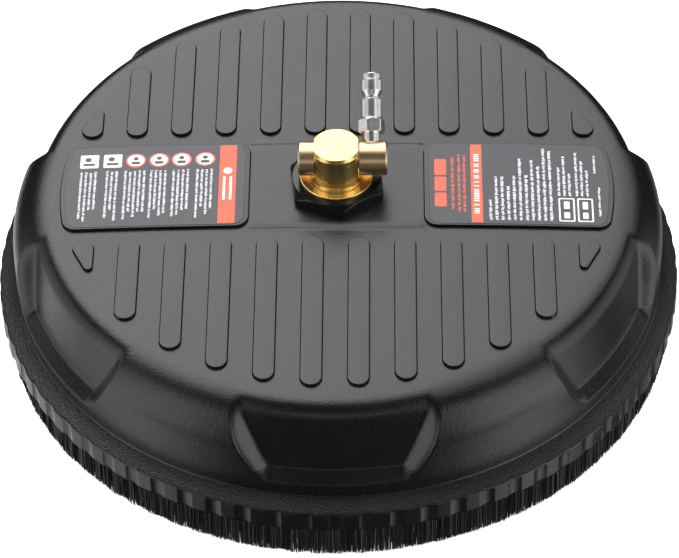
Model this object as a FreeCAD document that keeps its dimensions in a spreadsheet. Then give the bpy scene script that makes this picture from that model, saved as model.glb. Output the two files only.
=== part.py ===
"""Rotary surface cleaner: a round moulded hood with a brush skirt, a brass swivel on top
that takes a pressure lance, and a two-arm spray rotor that turns underneath it.

Millimetres, +Z up. The origin is on the ground under the middle of the hood, and the front is -Y.
Each sub-part is one object of the document, and its Label is its node's name.
"""

import FreeCAD
import Part
import math
import os
import re

import Sketcher
from FreeCAD import Placement, Rotation, Vector

doc = FreeCAD.newDocument("surface_cleaner")

# ---------------------------------------------------------------- driving dimensions

DIMENSIONS = [
    # hood
    ("rim_radius", 200.0, "outer radius of the skirt, which makes the hood 400 mm across"),
    ("rim_low", 23.5, "height of the skirt's lower edge"),
    ("rim_high", 36.5, "height at which the skirt's upright band ends"),
    ("rim_bevel", 0.8, "bevel where the shoulder meets the upright band"),
    ("rim_wall", 4.0, "thickness of the skirt"),
    ("wall", 4.0, "thickness of the moulded hood"),
    ("deck_top", 100.3, "height of the deck's crown"),
    ("crown_radius", 3606.0, "radius of the very flat dome of the deck"),
    ("shoulder_start", 161.1, "radius where a lobe begins to roll over"),
    ("shoulder_high", 96.7, "height of the deck there"),
    ("shoulder_radius", 28.5, "radius of the roll-over in section"),
    ("ledge_radius", 190.0, "radius where the side meets the skirt's shoulder"),
    ("ledge_high", 41.4, "height of that line"),
    ("land_low", 34.0, "underside of the land that carries the brush"),
    ("land_high", 40.0, "top of that land"),
    ("land_inner", 178.0, "inner radius of the land"),
    ("hub_hole", 18.0, "hole in the middle of the deck for the bearing housing"),
    ("hub_boss", 34.0, "radius of the thickened middle of the deck"),
    ("hub_boss_low", 92.3, "underside of the thickened middle"),
    # pockets between the lobes
    ("pocket_count", 6, "shallow pockets around the hood's side"),
    ("pocket_angle", 30.0, "angle that one pocket takes"),
    ("pocket_cheek", 33.0, "angle of a pocket with its two side walls"),
    ("pocket_start", 165.6, "radius where a pocket begins to roll over"),
    ("pocket_high", 96.3, "height of the deck there"),
    ("pocket_roll", 12.0, "radius of the pocket's roll-over in section"),
    ("pocket_knee", 177.1, "radius at the end of that roll-over"),
    ("pocket_knee_high", 86.3, "height at the end of that roll-over"),
    ("pocket_foot", 182.6, "radius at the foot of the pocket's wall"),
    ("pocket_foot_high", 55.6, "height at the foot of the pocket's wall"),
    ("pocket_sill", 189.9, "radius where the slope below the wall meets the hood's side"),
    ("pocket_sill_high", 50.2, "height of that line"),
    ("lap", 0.2, "how far solids that are joined reach into each other"),
    ("roof_low", 85.0, "a height well below the deck"),
    ("roof_high", 105.0, "a height well above the deck"),
    # raised pattern of the deck
    ("relief", 1.7, "height of the raised bars and label pads"),
    ("bar_count", 12, "raised bars in each half of the deck"),
    ("bar_pitch", 26.25, "distance between bars"),
    ("bar_width", 12.1, "width of a bar"),
    ("bar_inner", 43.8, "distance of the bars' inner ends from the middle line"),
    ("bar_outer", 159.3, "radius that the bars' outer ends follow"),
    ("end_bar_reach", 67.5, "distance of the first and last bars' outer ends from the middle line"),
    ("end_bar_tip", 2.6, "radius of the narrow outer ends of the first and last bars"),
    ("pad_inner", 50.5, "distance of a label pad's inner edge from the middle"),
    ("pad_outer", 160.3, "radius of a label pad's bowed outer edge"),
    ("pad_half", 35.0, "half the width of a label pad"),
    ("pad_corner", 8.0, "corner radius of a label pad"),
    ("label_inset", 3.0, "distance from a pad's inner and bowed edges to its label"),
    ("label_margin", 1.3, "distance from a pad's straight sides to its label"),
    ("label_thick", 0.3, "thickness of a label"),
    # brush
    ("brush_outer", 195.7, "outer radius of the bristles and of their backing"),
    ("brush_inner", 186.0, "inner radius of the bristles"),
    ("brush_back", 30.0, "height of the backing's underside"),
    ("screw_circle", 182.0, "radius of the circle of screws"),
    ("screw_count", 12, "screws that hold the brush"),
    ("screw_radius", 1.6, "radius of a screw"),
    ("screw_head", 3.2, "radius of a screw's head"),
    ("screw_head_low", 27.6, "underside of a screw's head"),
    ("screw_tip", 42.0, "height of a screw's tip"),
    ("screw_hole", 1.75, "radius of a screw's hole"),
    # bearing housing and its clamp
    ("hex_corner", 29.9, "corner radius of the housing's hexagon head"),
    ("hex_turn", 36.0, "angle of the hexagon's first corner from +X"),
    ("hex_high", 107.7, "top of the hexagon head"),
    ("hex_bevel_radius", 25.8, "radius where the head's bevel starts"),
    ("hex_bevel", 3.3, "height of the bevel over a corner"),
    ("barrel_radius", 17.8, "radius of the threaded barrel through the deck"),
    ("barrel_low", 60.0, "lower end of the barrel"),
    ("spigot_bore", 9.6, "bore that takes the manifold's spigot"),
    ("washer_radius", 30.0, "radius of the washer under the deck"),
    ("washer_thick", 2.0, "thickness of that washer"),
    ("nut_corner", 26.5, "corner radius of the ring nut"),
    ("nut_thick", 10.0, "thickness of the ring nut"),
    # bearings
    ("bearing_bore", 6.0, "inner radius of a bearing"),
    ("bearing_outer", 14.0, "outer radius of a bearing"),
    ("bearing_width", 8.0, "width of a bearing"),
    ("bearing_low", 66.3, "underside of the lower bearing"),
    ("bearing_step", 18.0, "distance from the lower bearing to the upper one"),
    ("inner_race", 8.1, "outer radius of an inner race"),
    ("outer_race", 11.9, "inner radius of an outer race"),
    ("ball_circle", 10.0, "radius of the circle of balls"),
    ("ball_count", 8, "balls in a bearing"),
    ("ball_radius", 2.25, "radius of a ball"),
    ("track_radius", 2.5, "radius of the balls' track in section"),
    ("track_half", 1.625, "half the width of a track at the face of its race"),
    ("clip_thick", 1.2, "thickness of the clip in the housing"),
    ("clip_inner", 12.4, "inner radius of the clip in the housing"),
    ("clip_outer", 14.8, "outer radius of the clip in the housing"),
    ("spacer_wall", 13.95, "outer radius of the spacer between the outer races"),
    # brass manifold
    ("spigot_radius", 9.5, "radius of the manifold's spigot"),
    ("spigot_low", 94.0, "lower end of the spigot"),
    ("seal_gap", 0.05, "gap between a seal and the sides of its groove"),
    ("seal_recess", 7.6, "radius of the recess for the rotary seal"),
    ("seal_recess_top", 100.0, "top of that recess"),
    ("rotary_seal_low", 95.0, "lower end of the rotary seal"),
    ("rotary_seal_top", 99.6, "upper end of the rotary seal"),
    ("ring_groove_low", 101.0, "lower side of the spigot's ring groove"),
    ("ring_groove_width", 2.4, "width of the ring groove"),
    ("ring_groove_floor", 7.9, "radius of the ring groove's floor"),
    ("flange_radius", 21.2, "radius of the brass flange"),
    ("flange_high", 109.0, "top of the flange's edge"),
    ("flange_lip", 1.2, "width of the flange's flat edge around its dish"),
    ("flange_bevel", 0.3, "bevel on the flange's edge"),
    ("dish_radius", 15.9, "radius where the flange's dish meets the body"),
    ("dish_high", 108.3, "height of the dish there"),
    ("dish_rise", 0.4, "height of the small cone at the body's foot"),
    ("manifold_radius", 15.0, "radius of the manifold's body"),
    ("manifold_top", 131.5, "top of the manifold"),
    ("manifold_bevel", 1.5, "bevel at the top of the manifold"),
    ("flat_half", 12.6, "distance of the manifold's side flats from its middle"),
    ("passage", 3.0, "radius of the manifold's upright water passage"),
    # cross pin, collar and inlet
    ("pivot_high", 121.3, "height of the cross pin's axis"),
    ("pin_radius", 5.95, "radius of the cross pin"),
    ("pin_bore", 6.0, "bore that the cross pin runs in"),
    ("pin_left", -20.5, "left end of the cross pin"),
    ("pin_right", 27.9, "right end of the cross pin"),
    ("pin_passage", 2.4, "radius of the water passage in the pin"),
    ("cap_radius", 10.0, "radius of the end cap and of the collar"),
    ("cap_left", -22.0, "outer face of the end cap"),
    ("cap_bevel", 0.9, "bevel on the end cap and the collar"),
    ("collar_left", 12.9, "inner face of the collar"),
    ("collar_right", 29.4, "outer face of the collar"),
    ("collar_recess", 26.6, "floor of the recess in the collar's outer face"),
    ("recess_radius", 8.0, "radius of that recess"),
    ("plug_thick", 1.1, "thickness of the plug that closes the recess"),
    ("retainer_left", 26.95, "inner face of the pin's retaining ring"),
    ("retainer_thick", 0.6, "thickness of that ring"),
    ("retainer_outer", 7.5, "outer radius of that ring"),
    ("retainer_inner", 5.2, "inner radius of that ring"),
    ("seal_left", 14.4, "left side of the first seal groove in the pin"),
    ("seal_right", 24.2, "left side of the second seal groove"),
    ("seal_groove", 2.2, "width of a seal groove"),
    ("seal_floor", 4.05, "radius of a seal groove's floor"),
    ("inlet_x", 20.3, "distance of the inlet's axis from the middle"),
    ("inlet_lean", 54.5, "angle by which the inlet leans back from upright"),
    ("inlet_thread", 4.85, "radius of the inlet's thread"),
    ("inlet_start", 7.4, "distance of the inlet's lower end from the pin's axis"),
    ("inlet_bore", 2.6, "radius of the inlet's bore"),
    ("stem_end", 14.6, "end of the inlet's stem"),
    ("inlet_hex_corner", 8.0, "corner radius of the inlet's hexagon"),
    ("inlet_hex_end", 22.4, "end of the inlet's hexagon"),
    ("sleeve_radius", 6.1, "radius of the inlet's middle sleeve"),
    ("sleeve_end", 34.6, "end of the middle sleeve"),
    ("neck_radius", 4.4, "radius of the neck that the coupler's balls lock in"),
    ("neck_end", 36.2, "end of the neck"),
    ("nose_radius", 6.1, "radius of the nose that the coupler seals on"),
    ("nose_start", 39.2, "start of the nose"),
    ("nose_end", 45.7, "end of the nose"),
    ("tip_radius", 5.3, "radius of the tip"),
    ("tip_end", 49.5, "end of the tip"),
    ("inlet_bevel", 0.5, "bevel on the edges of the inlet"),
    # rotor
    ("shaft_top", 98.6, "top of the rotor's shaft"),
    ("shaft_low", 50.0, "lower end of the rotor's shaft"),
    ("shaft_shoulder", 8.0, "radius of the shaft below the bearings"),
    ("shaft_bore", 2.5, "radius of the water passage in the shaft"),
    ("shaft_groove", 5.45, "radius of the floor of the shaft's clip groove"),
    ("shaft_clip_low", 92.5, "underside of the shaft's clip"),
    ("shaft_clip_thick", 0.8, "thickness of the shaft's clip"),
    ("shaft_clip_outer", 7.6, "outer radius of the shaft's clip"),
    ("hub_radius", 17.0, "radius of the rotor's hub"),
    ("hub_low", 35.0, "underside of the hub"),
    ("hub_high", 58.0, "top of the hub"),
    ("soft_edge", 1.5, "bevel on the hub and on the elbows"),
    ("hub_cavity", 4.0, "radius of the hub's water passages"),
    ("hub_cavity_low", 41.0, "floor of the hub's cavity"),
    ("arm_high", 45.0, "height of the spray arms' axis"),
    ("arm_radius", 6.4, "outer radius of a spray arm"),
    ("arm_bore", 4.2, "inner radius of a spray arm"),
    ("arm_start", 10.0, "distance of an arm's inner end from the middle"),
    ("arm_end", 152.0, "distance of an arm's outer end from the middle"),
    ("lock_nut_corner", 10.5, "corner radius of an arm's lock nut"),
    ("lock_nut_thick", 6.0, "thickness of an arm's lock nut"),
    ("elbow_start", 144.0, "inner end of a nozzle elbow"),
    ("elbow_end", 166.0, "outer end of a nozzle elbow"),
    ("elbow_radius", 9.0, "radius of a nozzle elbow"),
    ("elbow_drop", 17.0, "length of an elbow's outlet from its middle"),
    ("outlet_radius", 8.0, "radius of an elbow's outlet"),
    ("nozzle_x", 158.0, "distance of a nozzle from the middle"),
    ("nozzle_lean", 20.0, "angle by which a nozzle leans, which turns the rotor"),
    ("nozzle_thread", 4.5, "radius of a nozzle's thread"),
    ("nozzle_start", 9.5, "start of a nozzle's thread from the arm's axis"),
    ("nozzle_hex_corner", 7.2, "corner radius of a nozzle's hexagon"),
    ("nozzle_hex_end", 22.5, "end of a nozzle's hexagon"),
    ("nozzle_tip", 26.0, "end of a nozzle"),
    ("nozzle_bevel", 1.0, "bevel at a nozzle's end"),
    ("nozzle_bore", 1.2, "radius of a nozzle's bore"),
]

dim = doc.addObject("Spreadsheet::Sheet", "dim")
for row, (alias, value, note) in enumerate(DIMENSIONS, start=1):
    dim.set(f"A{row}", note)
    dim.set(f"B{row}", str(value))
    dim.setAlias(f"B{row}", alias)
doc.recompute()


def bound(expression):
    """The expression with each dimension's name turned into a reference to the sheet."""
    return re.sub(r"[a-z][a-z_]+", lambda found: f"dim.{found.group(0)}", str(expression))


def size(expression):
    """What an expression of dimensions comes to now."""
    return float(dim.evalExpression(bound(expression)))


# ---------------------------------------------------------------- sketches and bodies


def new_body(label):
    body = doc.addObject("PartDesign::Body", label)
    body.Label = label
    return body


def origin_plane(body, role):
    for feature in body.Origin.OriginFeatures:
        if feature.Role == role:
            return feature


def new_sketch(body, name, role="XZ_Plane"):
    sketch = body.newObject("Sketcher::SketchObject", name)
    sketch.AttachmentSupport = [(origin_plane(body, role), "")]
    sketch.MapMode = "FlatFace"
    return sketch


def bind(sketch, constraint, expression):
    index = sketch.addConstraint(constraint)
    sketch.setExpression(f"Constraints[{index}]", bound(expression))


def hold_point(sketch, geometry, end, x, y):
    """Holds one end of a line or arc at a place that the sheet gives."""
    if str(x) == "0":
        sketch.addConstraint(Sketcher.Constraint("PointOnObject", geometry, end, -2))
    else:
        bind(sketch, Sketcher.Constraint("DistanceX", -1, 1, geometry, end, size(x)), x)
    if str(y) == "0":
        sketch.addConstraint(Sketcher.Constraint("PointOnObject", geometry, end, -1))
    else:
        bind(sketch, Sketcher.Constraint("DistanceY", -1, 1, geometry, end, size(y)), y)


def arc_between(start, end, radius, left):
    """The short arc from start to end, with its centre to the left or right of the way there."""
    half = (end - start) * 0.5
    across = Vector(-half.y, half.x, 0).normalize()
    reach = math.sqrt(max(radius**2 - half.Length**2, 0))
    centre = start + half + across * (reach if left else -reach)
    first = math.atan2(start.y - centre.y, start.x - centre.x)
    last = math.atan2(end.y - centre.y, end.x - centre.x)
    if not left:
        first, last = last, first
    return Part.ArcOfCircle(Part.Circle(centre, Vector(0, 0, 1), radius), first, last)


def draw_outline(sketch, outline):
    """Draws a closed outline. Each point is (x, y), or (x, y, radius, side) where an arc of that
    radius leads to it with its centre on that side: all are expressions of dimensions."""
    points = [Vector(size(point[0]), size(point[1]), 0) for point in outline]
    pieces = []
    for index, point in enumerate(outline):
        start, end = points[index - 1], points[index]
        if len(point) == 4:
            left = point[3] == "left"
            arc = arc_between(start, end, size(point[2]), left)
            geometry = sketch.addGeometry(arc, False)
            bind(sketch, Sketcher.Constraint("Radius", geometry, size(point[2])), point[2])
            pieces.append((geometry, 1, 2) if left else (geometry, 2, 1))
        else:
            geometry = sketch.addGeometry(Part.LineSegment(start, end), False)
            pieces.append((geometry, 1, 2))
    for index, (geometry, start, end) in enumerate(pieces):
        following, following_start, _ = pieces[(index + 1) % len(pieces)]
        joint = Sketcher.Constraint("Coincident", geometry, end, following, following_start)
        sketch.addConstraint(joint)
        hold_point(sketch, geometry, end, outline[index][0], outline[index][1])


def turned(label, outline, name=None):
    """A body turned about its own Z from an outline of (radius, height) points."""
    body = new_body(label)
    sketch = new_sketch(body, f"{name or label}_outline")
    draw_outline(sketch, outline)
    turn = body.newObject("PartDesign::Revolution", f"{name or label}_turn")
    turn.Profile = sketch
    turn.ReferenceAxis = (sketch, ["V_Axis"])
    turn.Angle = 360
    body.Tip = turn
    return body


def ring(label, inner, outer, low, high):
    """A plain ring or tube about Z."""
    return turned(label, [(inner, low), (outer, low), (outer, high), (inner, high)])


# ---------------------------------------------------------------- primitives and booleans

ALONG_X = Rotation(Vector(0, 1, 0), 90)
ALONG_MINUS_X = Rotation(Vector(0, 1, 0), -90)


def place(item, rotation=Rotation(), x=0, y=0, z=0):
    """Turns an object, and moves it to a place that the sheet gives."""
    item.Placement = Placement(Vector(size(x), size(y), size(z)), rotation)
    for axis, expression in (("x", x), ("y", y), ("z", z)):
        if str(expression) != "0":
            item.setExpression(f"Placement.Base.{axis}", bound(expression))
    return item


def rod(name, radius, length, rotation=Rotation(), x=0, y=0, z=0):
    item = doc.addObject("Part::Cylinder", name)
    item.setExpression("Radius", bound(radius))
    item.setExpression("Height", bound(length))
    return place(item, rotation, x, y, z)


def hexagon(name, corner, length, rotation=Rotation(), x=0, y=0, z=0):
    item = doc.addObject("Part::Prism", name)
    item.Polygon = 6
    item.setExpression("Circumradius", bound(corner))
    item.setExpression("Height", bound(length))
    return place(item, rotation, x, y, z)


def block(name, length, width, height, x, y, z):
    item = doc.addObject("Part::Box", name)
    item.setExpression("Length", bound(length))
    item.setExpression("Width", bound(width))
    item.setExpression("Height", bound(height))
    return place(item, x=x, y=y, z=z)


def loop(name, major, minor, rotation=Rotation(), x=0, y=0, z=0):
    item = doc.addObject("Part::Torus", name)
    item.setExpression("Radius1", bound(major))
    item.setExpression("Radius2", bound(minor))
    return place(item, rotation, x, y, z)


def together(label, items):
    item = doc.addObject("Part::MultiFuse", label)
    item.Shapes = items
    item.Label = label
    return item


def shared(label, items):
    item = doc.addObject("Part::MultiCommon", label)
    item.Shapes = items
    item.Label = label
    return item


def group(label, items):
    item = doc.addObject("Part::Compound", label)
    item.Links = items
    item.Label = label
    return item


def cut(label, base, tool):
    item = doc.addObject("Part::Cut", label)
    item.Base = base
    item.Tool = tool
    item.Label = label
    return item


def cut_all(label, base, tools):
    return cut(label, base, together(f"{label}_cuts", tools))


# ---------------------------------------------------------------- hood


def polar(body, feature, count, name):
    pattern = body.newObject("PartDesign::PolarPattern", name)
    pattern.Originals = [feature]
    pattern.Axis = (body.Origin.OriginFeatures[2], [""])
    pattern.Angle = 360
    pattern.setExpression("Occurrences", bound(count))
    body.Tip = pattern
    return pattern


def facing_front(outline):
    """An outline of (radius, height) points, mirrored so that it lies on the -Y side."""
    other = {"left": "right", "right": "left"}
    mirrored = []
    for radius, *rest in outline:
        if len(rest) == 3:
            rest = [rest[0], rest[1], other[rest[2]]]
        mirrored.append((f"-({radius})", *rest))
    return mirrored


def swept_sector(body, name, outline, angle, feature_type):
    """A revolved feature over part of a turn, centred on the front of the hood."""
    sketch = new_sketch(body, f"{name}_outline", "YZ_Plane")
    draw_outline(sketch, facing_front(outline))
    feature = body.newObject(feature_type, name)
    feature.Profile = sketch
    feature.ReferenceAxis = (sketch, ["V_Axis"])
    feature.Midplane = True
    feature.setExpression("Angle", bound(angle))
    body.Tip = feature
    doc.recompute()
    return feature


def make_hood_form():
    """The moulded hood before its raised pattern: a domed deck, six lobes and six pockets."""
    roll_end = "shoulder_start + shoulder_radius"
    roll_low = "shoulder_high - shoulder_radius"
    body = turned("hood_form", [
        ("hub_hole", "hub_boss_low"),
        ("hub_hole", "deck_top"),
        ("shoulder_start", "shoulder_high", "crown_radius", "right"),
        (roll_end, roll_low, "shoulder_radius", "right"),
        ("ledge_radius", "ledge_high"),
        ("rim_radius - rim_bevel", "rim_high + rim_bevel"),
        ("rim_radius", "rim_high"),
        ("rim_radius", "rim_low"),
        ("rim_radius - rim_wall", "rim_low"),
        ("rim_radius - rim_wall", "land_low"),
        ("land_inner", "land_low"),
        ("land_inner", "land_high"),
        ("ledge_radius - wall", "land_high"),
        (f"{roll_end} - wall", roll_low),
        ("shoulder_start", "shoulder_high - wall", "shoulder_radius - wall", "left"),
        ("hub_boss", "deck_top - wall - lap", "crown_radius", "left"),
        ("hub_boss", "hub_boss_low"),
    ])
    # Solid behind each pocket, out to the middle of the lobe's wall.
    doc.recompute()
    plain = body.Shape.Volume
    backing = swept_sector(body, "pocket_backing", [
        ("pocket_start - wall", "pocket_high - wall + lap"),
        ("pocket_start", "pocket_high - wall"),
        ("pocket_knee - wall", "pocket_knee_high", "pocket_roll - wall", "right"),
        ("pocket_foot - wall", "pocket_foot_high - wall/2"),
        ("ledge_radius - wall", "pocket_sill_high - wall"),
        ("ledge_radius - wall", "land_high"),
        ("ledge_radius - wall/2", "ledge_high"),
        (f"{roll_end} - wall/2", roll_low),
        ("shoulder_start", "shoulder_high - wall/2", "shoulder_radius - wall/2", "left"),
    ], "pocket_cheek", "PartDesign::Revolution")
    polar(body, backing, "pocket_count", "pocket_backings")
    doc.recompute()
    filled = body.Shape.Volume
    hollow = swept_sector(body, "pocket_hollow", [
        ("pocket_start", "pocket_high"),
        ("pocket_knee", "pocket_knee_high", "pocket_roll", "right"),
        ("pocket_foot", "pocket_foot_high"),
        ("pocket_sill", "pocket_sill_high"),
        ("rim_radius", "pocket_sill_high"),
        ("rim_radius", "deck_top"),
        ("pocket_start", "deck_top"),
    ], "pocket_angle", "PartDesign::Groove")
    polar(body, hollow, "pocket_count", "pocket_hollows")
    doc.recompute()
    hollowed = body.Shape.Volume
    sketch = new_sketch(body, "screw_hole_outline", "XY_Plane")
    reach, radius = size("screw_circle"), size("screw_hole")
    circle = sketch.addGeometry(Part.Circle(Vector(reach, 0, 0), Vector(0, 0, 1), radius))
    sketch.addConstraint(Sketcher.Constraint("PointOnObject", circle, 3, -1))
    bind(sketch, Sketcher.Constraint("DistanceX", -1, 1, circle, 3, reach), "screw_circle")
    bind(sketch, Sketcher.Constraint("Radius", circle, radius), "screw_hole")
    hole = body.newObject("PartDesign::Pocket", "screw_hole")
    hole.Profile = sketch
    hole.Type = 0
    hole.Reversed = True
    hole.setExpression("Length", bound("screw_tip + lap"))
    body.Tip = hole
    doc.recompute()
    polar(body, hole, "screw_count", "screw_holes")
    doc.recompute()
    if not filled > plain or not hollowed < filled or not body.Shape.Volume < hollowed:
        raise ValueError("a pocket or a screw hole of the hood changed nothing")
    return body


def bar_face(x, low, high, half):
    """A bar's plan: a slot with round ends, along Y."""
    right, left = x + half, x - half
    above, below = high - half, low + half
    sides = [
        Part.LineSegment(Vector(right, below, 0), Vector(right, above, 0)),
        Part.Arc(Vector(right, above, 0), Vector(x, high, 0), Vector(left, above, 0)),
        Part.LineSegment(Vector(left, above, 0), Vector(left, below, 0)),
        Part.Arc(Vector(left, below, 0), Vector(x, low, 0), Vector(right, below, 0)),
    ]
    return Part.Face(Part.Wire([side.toShape() for side in sides]))


def end_bar_face(x, low, high, half):
    """The plan of the last bar: wide and round at its inner end, with its outer side slanting
    in to a narrow round tip."""
    tip = size("end_bar_tip")
    near, far = Vector(x, low + half, 0), Vector(x - half + tip, high - tip, 0)
    way = far - near
    lean = math.atan2(way.y, way.x) - math.acos((half - tip) / way.Length)
    slant = Vector(math.cos(lean), math.sin(lean), 0)
    middle = Vector(math.cos((lean + math.pi) / 2), math.sin((lean + math.pi) / 2), 0)
    inner = Vector(-1, 0, 0)
    sides = [
        Part.LineSegment(near + slant * half, far + slant * tip),
        Part.Arc(far + slant * tip, far + middle * tip, far + inner * tip),
        Part.LineSegment(far + inner * tip, near + inner * half),
        Part.Arc(near + inner * half, near - Vector(0, half, 0), near + slant * half),
    ]
    return Part.Face(Part.Wire([side.toShape() for side in sides]))


def bar_faces():
    """The plans of the raised bars: the same in each quarter of the deck."""
    faces = []
    half, low = size("bar_width / 2"), size("bar_inner")
    in_quarter = int(size("bar_count / 2"))
    for index in range(in_quarter):
        x = (index + 0.5) * size("bar_pitch")
        if index < in_quarter - 1:
            faces.append(bar_face(x, low, math.sqrt(size("bar_outer") ** 2 - x**2), half))
        else:
            faces.append(end_bar_face(x, low, size("end_bar_reach"), half))
    faces += [face.mirror(Vector(0, 0, 0), Vector(1, 0, 0)) for face in faces]
    return faces + [face.mirror(Vector(0, 0, 0), Vector(0, 1, 0)) for face in faces]


def pad_face(side, inset=0, margin=0):
    """A label pad's plan: straight on three sides, bowed outwards on the fourth."""
    inner = size("pad_inner") + inset
    outer = size("pad_outer") - inset
    half = size("pad_half") - margin
    corner = size("pad_corner") - margin
    reach = math.sqrt((outer - corner) ** 2 - (half - corner) ** 2)
    slope = math.atan2(half - corner, reach)
    turn = Vector(math.cos(slope), math.sin(slope), 0)
    between = (slope + math.pi / 2) / 2
    diagonal = Vector(math.cos(between), math.sin(between), 0)
    far = Vector(reach, half - corner, 0)
    near = Vector(inner + corner, half - corner, 0)
    step = corner * math.sqrt(0.5)

    def under(point):
        return Vector(point.x, -point.y, 0)

    top, bow = far + Vector(0, corner, 0), far + turn * corner
    near_top, near_side = near + Vector(0, corner, 0), near - Vector(corner, 0, 0)
    near_middle = near + Vector(-step, step, 0)
    sides = [
        Part.LineSegment(near_top, top),
        Part.Arc(top, far + diagonal * corner, bow),
        Part.Arc(bow, Vector(outer, 0, 0), under(bow)),
        Part.Arc(under(bow), under(far + diagonal * corner), under(top)),
        Part.LineSegment(under(top), under(near_top)),
        Part.Arc(under(near_top), under(near_middle), under(near_side)),
        Part.LineSegment(under(near_side), near_side),
        Part.Arc(near_side, near_middle, near_top),
    ]
    face = Part.Face(Part.Wire([side.toShape() for side in sides]))
    return face if side == "right" else face.mirror(Vector(0, 0, 0), Vector(1, 0, 0))


def columns(name, faces):
    """Upright columns over these plans, which pass right through the deck's skin."""
    low = Vector(0, 0, size("roof_low"))
    up = Vector(0, 0, size("roof_high - roof_low"))
    solids = [face.translated(low).extrude(up) for face in faces]
    item = doc.addObject("Part::Feature", name)
    item.Shape = Part.Compound(solids)
    return item


def deck_skin(name, low, high):
    """A thin dome that follows the deck, from low to high above it."""
    return turned(name, [
        (0, f"deck_top + {high}"),
        ("shoulder_start", f"shoulder_high + {high}", "crown_radius", "right"),
        ("shoulder_start", f"shoulder_high + {low}"),
        (0, f"deck_top + {low}", "crown_radius", "left"),
    ])


def make_hood():
    pads = [pad_face("left"), pad_face("right")]
    plan = columns("raised_pattern_plan", bar_faces() + pads)
    skin = deck_skin("raised_pattern_skin", "(-wall / 4)", "relief")
    pattern = shared("raised_pattern", [plan, skin])
    return together("housing_shell", [make_hood_form(), pattern])


def make_label(side):
    label = f"label_{side}"
    plan = columns(f"{label}_plan", [pad_face(side, size("label_inset"), size("label_margin"))])
    skin = deck_skin(f"{label}_skin", "relief", "relief + label_thick")
    return shared(label, [plan, skin])


# ---------------------------------------------------------------- brush


def circle_places(count, radius):
    """Places spaced evenly around Z, as (x, y) numbers."""
    steps = int(size(count))
    turns = [2 * math.pi * index / steps for index in range(steps)]
    return [(size(radius) * math.cos(turn), size(radius) * math.sin(turn)) for turn in turns]


def make_brush():
    bristles = ring("brush_bristles", "brush_inner", "brush_outer", 0, "brush_back")
    plain = ring("brush_backing_plain", "land_inner", "brush_outer", "brush_back", "land_low")
    holes, screws = [], []
    for index, (x, y) in enumerate(circle_places("screw_count", "screw_circle")):
        name = f"brush_screw_{index + 1}"
        back = {"x": x, "y": y, "z": "brush_back"}
        head_low = {"x": x, "y": y, "z": "screw_head_low"}
        holes.append(rod(f"{name}_hole", "screw_hole", "land_low - brush_back", **back))
        shank = rod(f"{name}_shank", "screw_radius", "screw_tip - brush_back", **back)
        head = rod(f"{name}_head", "screw_head", "brush_back - screw_head_low", **head_low)
        screws.append(together(name, [shank, head]))
    backing = cut_all("brush_backing", plain, holes)
    return [bristles, backing, group("brush_screws", screws)]


# ---------------------------------------------------------------- bearing housing


def make_bearing_housing():
    spin = Rotation(Vector(0, 0, 1), size("hex_turn"))
    head = hexagon("housing_hexagon", "hex_corner", "hex_high - deck_top", spin, z="deck_top")
    bevel = turned("housing_bevel", [
        (0, "deck_top"),
        ("hex_corner + lap", "deck_top"),
        ("hex_corner + lap", "hex_high - hex_bevel - lap / 2"),
        ("hex_bevel_radius", "hex_high"),
        (0, "hex_high"),
    ])
    barrel = rod("housing_barrel", "barrel_radius", "deck_top - barrel_low", z="barrel_low")
    outside = together("housing_outside", [shared("housing_head", [head, bevel]), barrel])
    groove_low = "bearing_low - clip_thick"
    bore = turned("housing_bore", [
        (0, "barrel_low"),
        ("bearing_outer", "barrel_low"),
        ("bearing_outer", groove_low),
        ("clip_outer", groove_low),
        ("clip_outer", "bearing_low"),
        ("bearing_outer", "bearing_low"),
        ("bearing_outer", "hub_boss_low"),
        ("spigot_bore", "hub_boss_low"),
        ("spigot_bore", "hex_high"),
        (0, "hex_high"),
    ])
    return cut("bearing_housing", outside, bore)


def hex_nut(label, corner, bore, thickness, rotation=Rotation(), x=0, z=0):
    """A hexagon nut from z or x on, along its own axis."""
    outside = hexagon(f"{label}_hexagon", corner, thickness, rotation, x=x, z=z)
    hole = rod(f"{label}_hole", bore, thickness, rotation, x=x, z=z)
    return cut(label, outside, hole)


def make_clamp():
    washer_low = "hub_boss_low - washer_thick"
    nut_low = f"{washer_low} - nut_thick"
    washer = ring("deck_washer", "barrel_radius", "washer_radius", washer_low, "hub_boss_low")
    nut = hex_nut("clamp_ring_nut", "nut_corner", "barrel_radius", "nut_thick", z=nut_low)
    return [washer, nut]


# ---------------------------------------------------------------- bearings


def make_bearing(name, low):
    """One ball bearing: its outer race, its inner race and its balls."""
    middle = f"{low} + bearing_width / 2"
    high = f"{low} + bearing_width"
    track_low, track_high = f"{middle} - track_half", f"{middle} + track_half"
    outer = turned(f"{name}_outer_race", [
        ("outer_race", low),
        ("bearing_outer", low),
        ("bearing_outer", high),
        ("outer_race", high),
        ("outer_race", track_high),
        ("outer_race", track_low, "track_radius", "right"),
    ])
    inner = turned(f"{name}_inner_race", [
        ("bearing_bore", low),
        ("inner_race", low),
        ("inner_race", track_low),
        ("inner_race", track_high, "track_radius", "right"),
        ("inner_race", high),
        ("bearing_bore", high),
    ])
    balls = []
    for index, (x, y) in enumerate(circle_places("ball_count", "ball_circle")):
        ball = doc.addObject("Part::Sphere", f"{name}_ball_{index + 1}")
        ball.setExpression("Radius", bound("ball_radius"))
        balls.append(place(ball, x=x, y=y, z=middle))
    return [outer, inner, group(f"{name}_balls", balls)]


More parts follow.
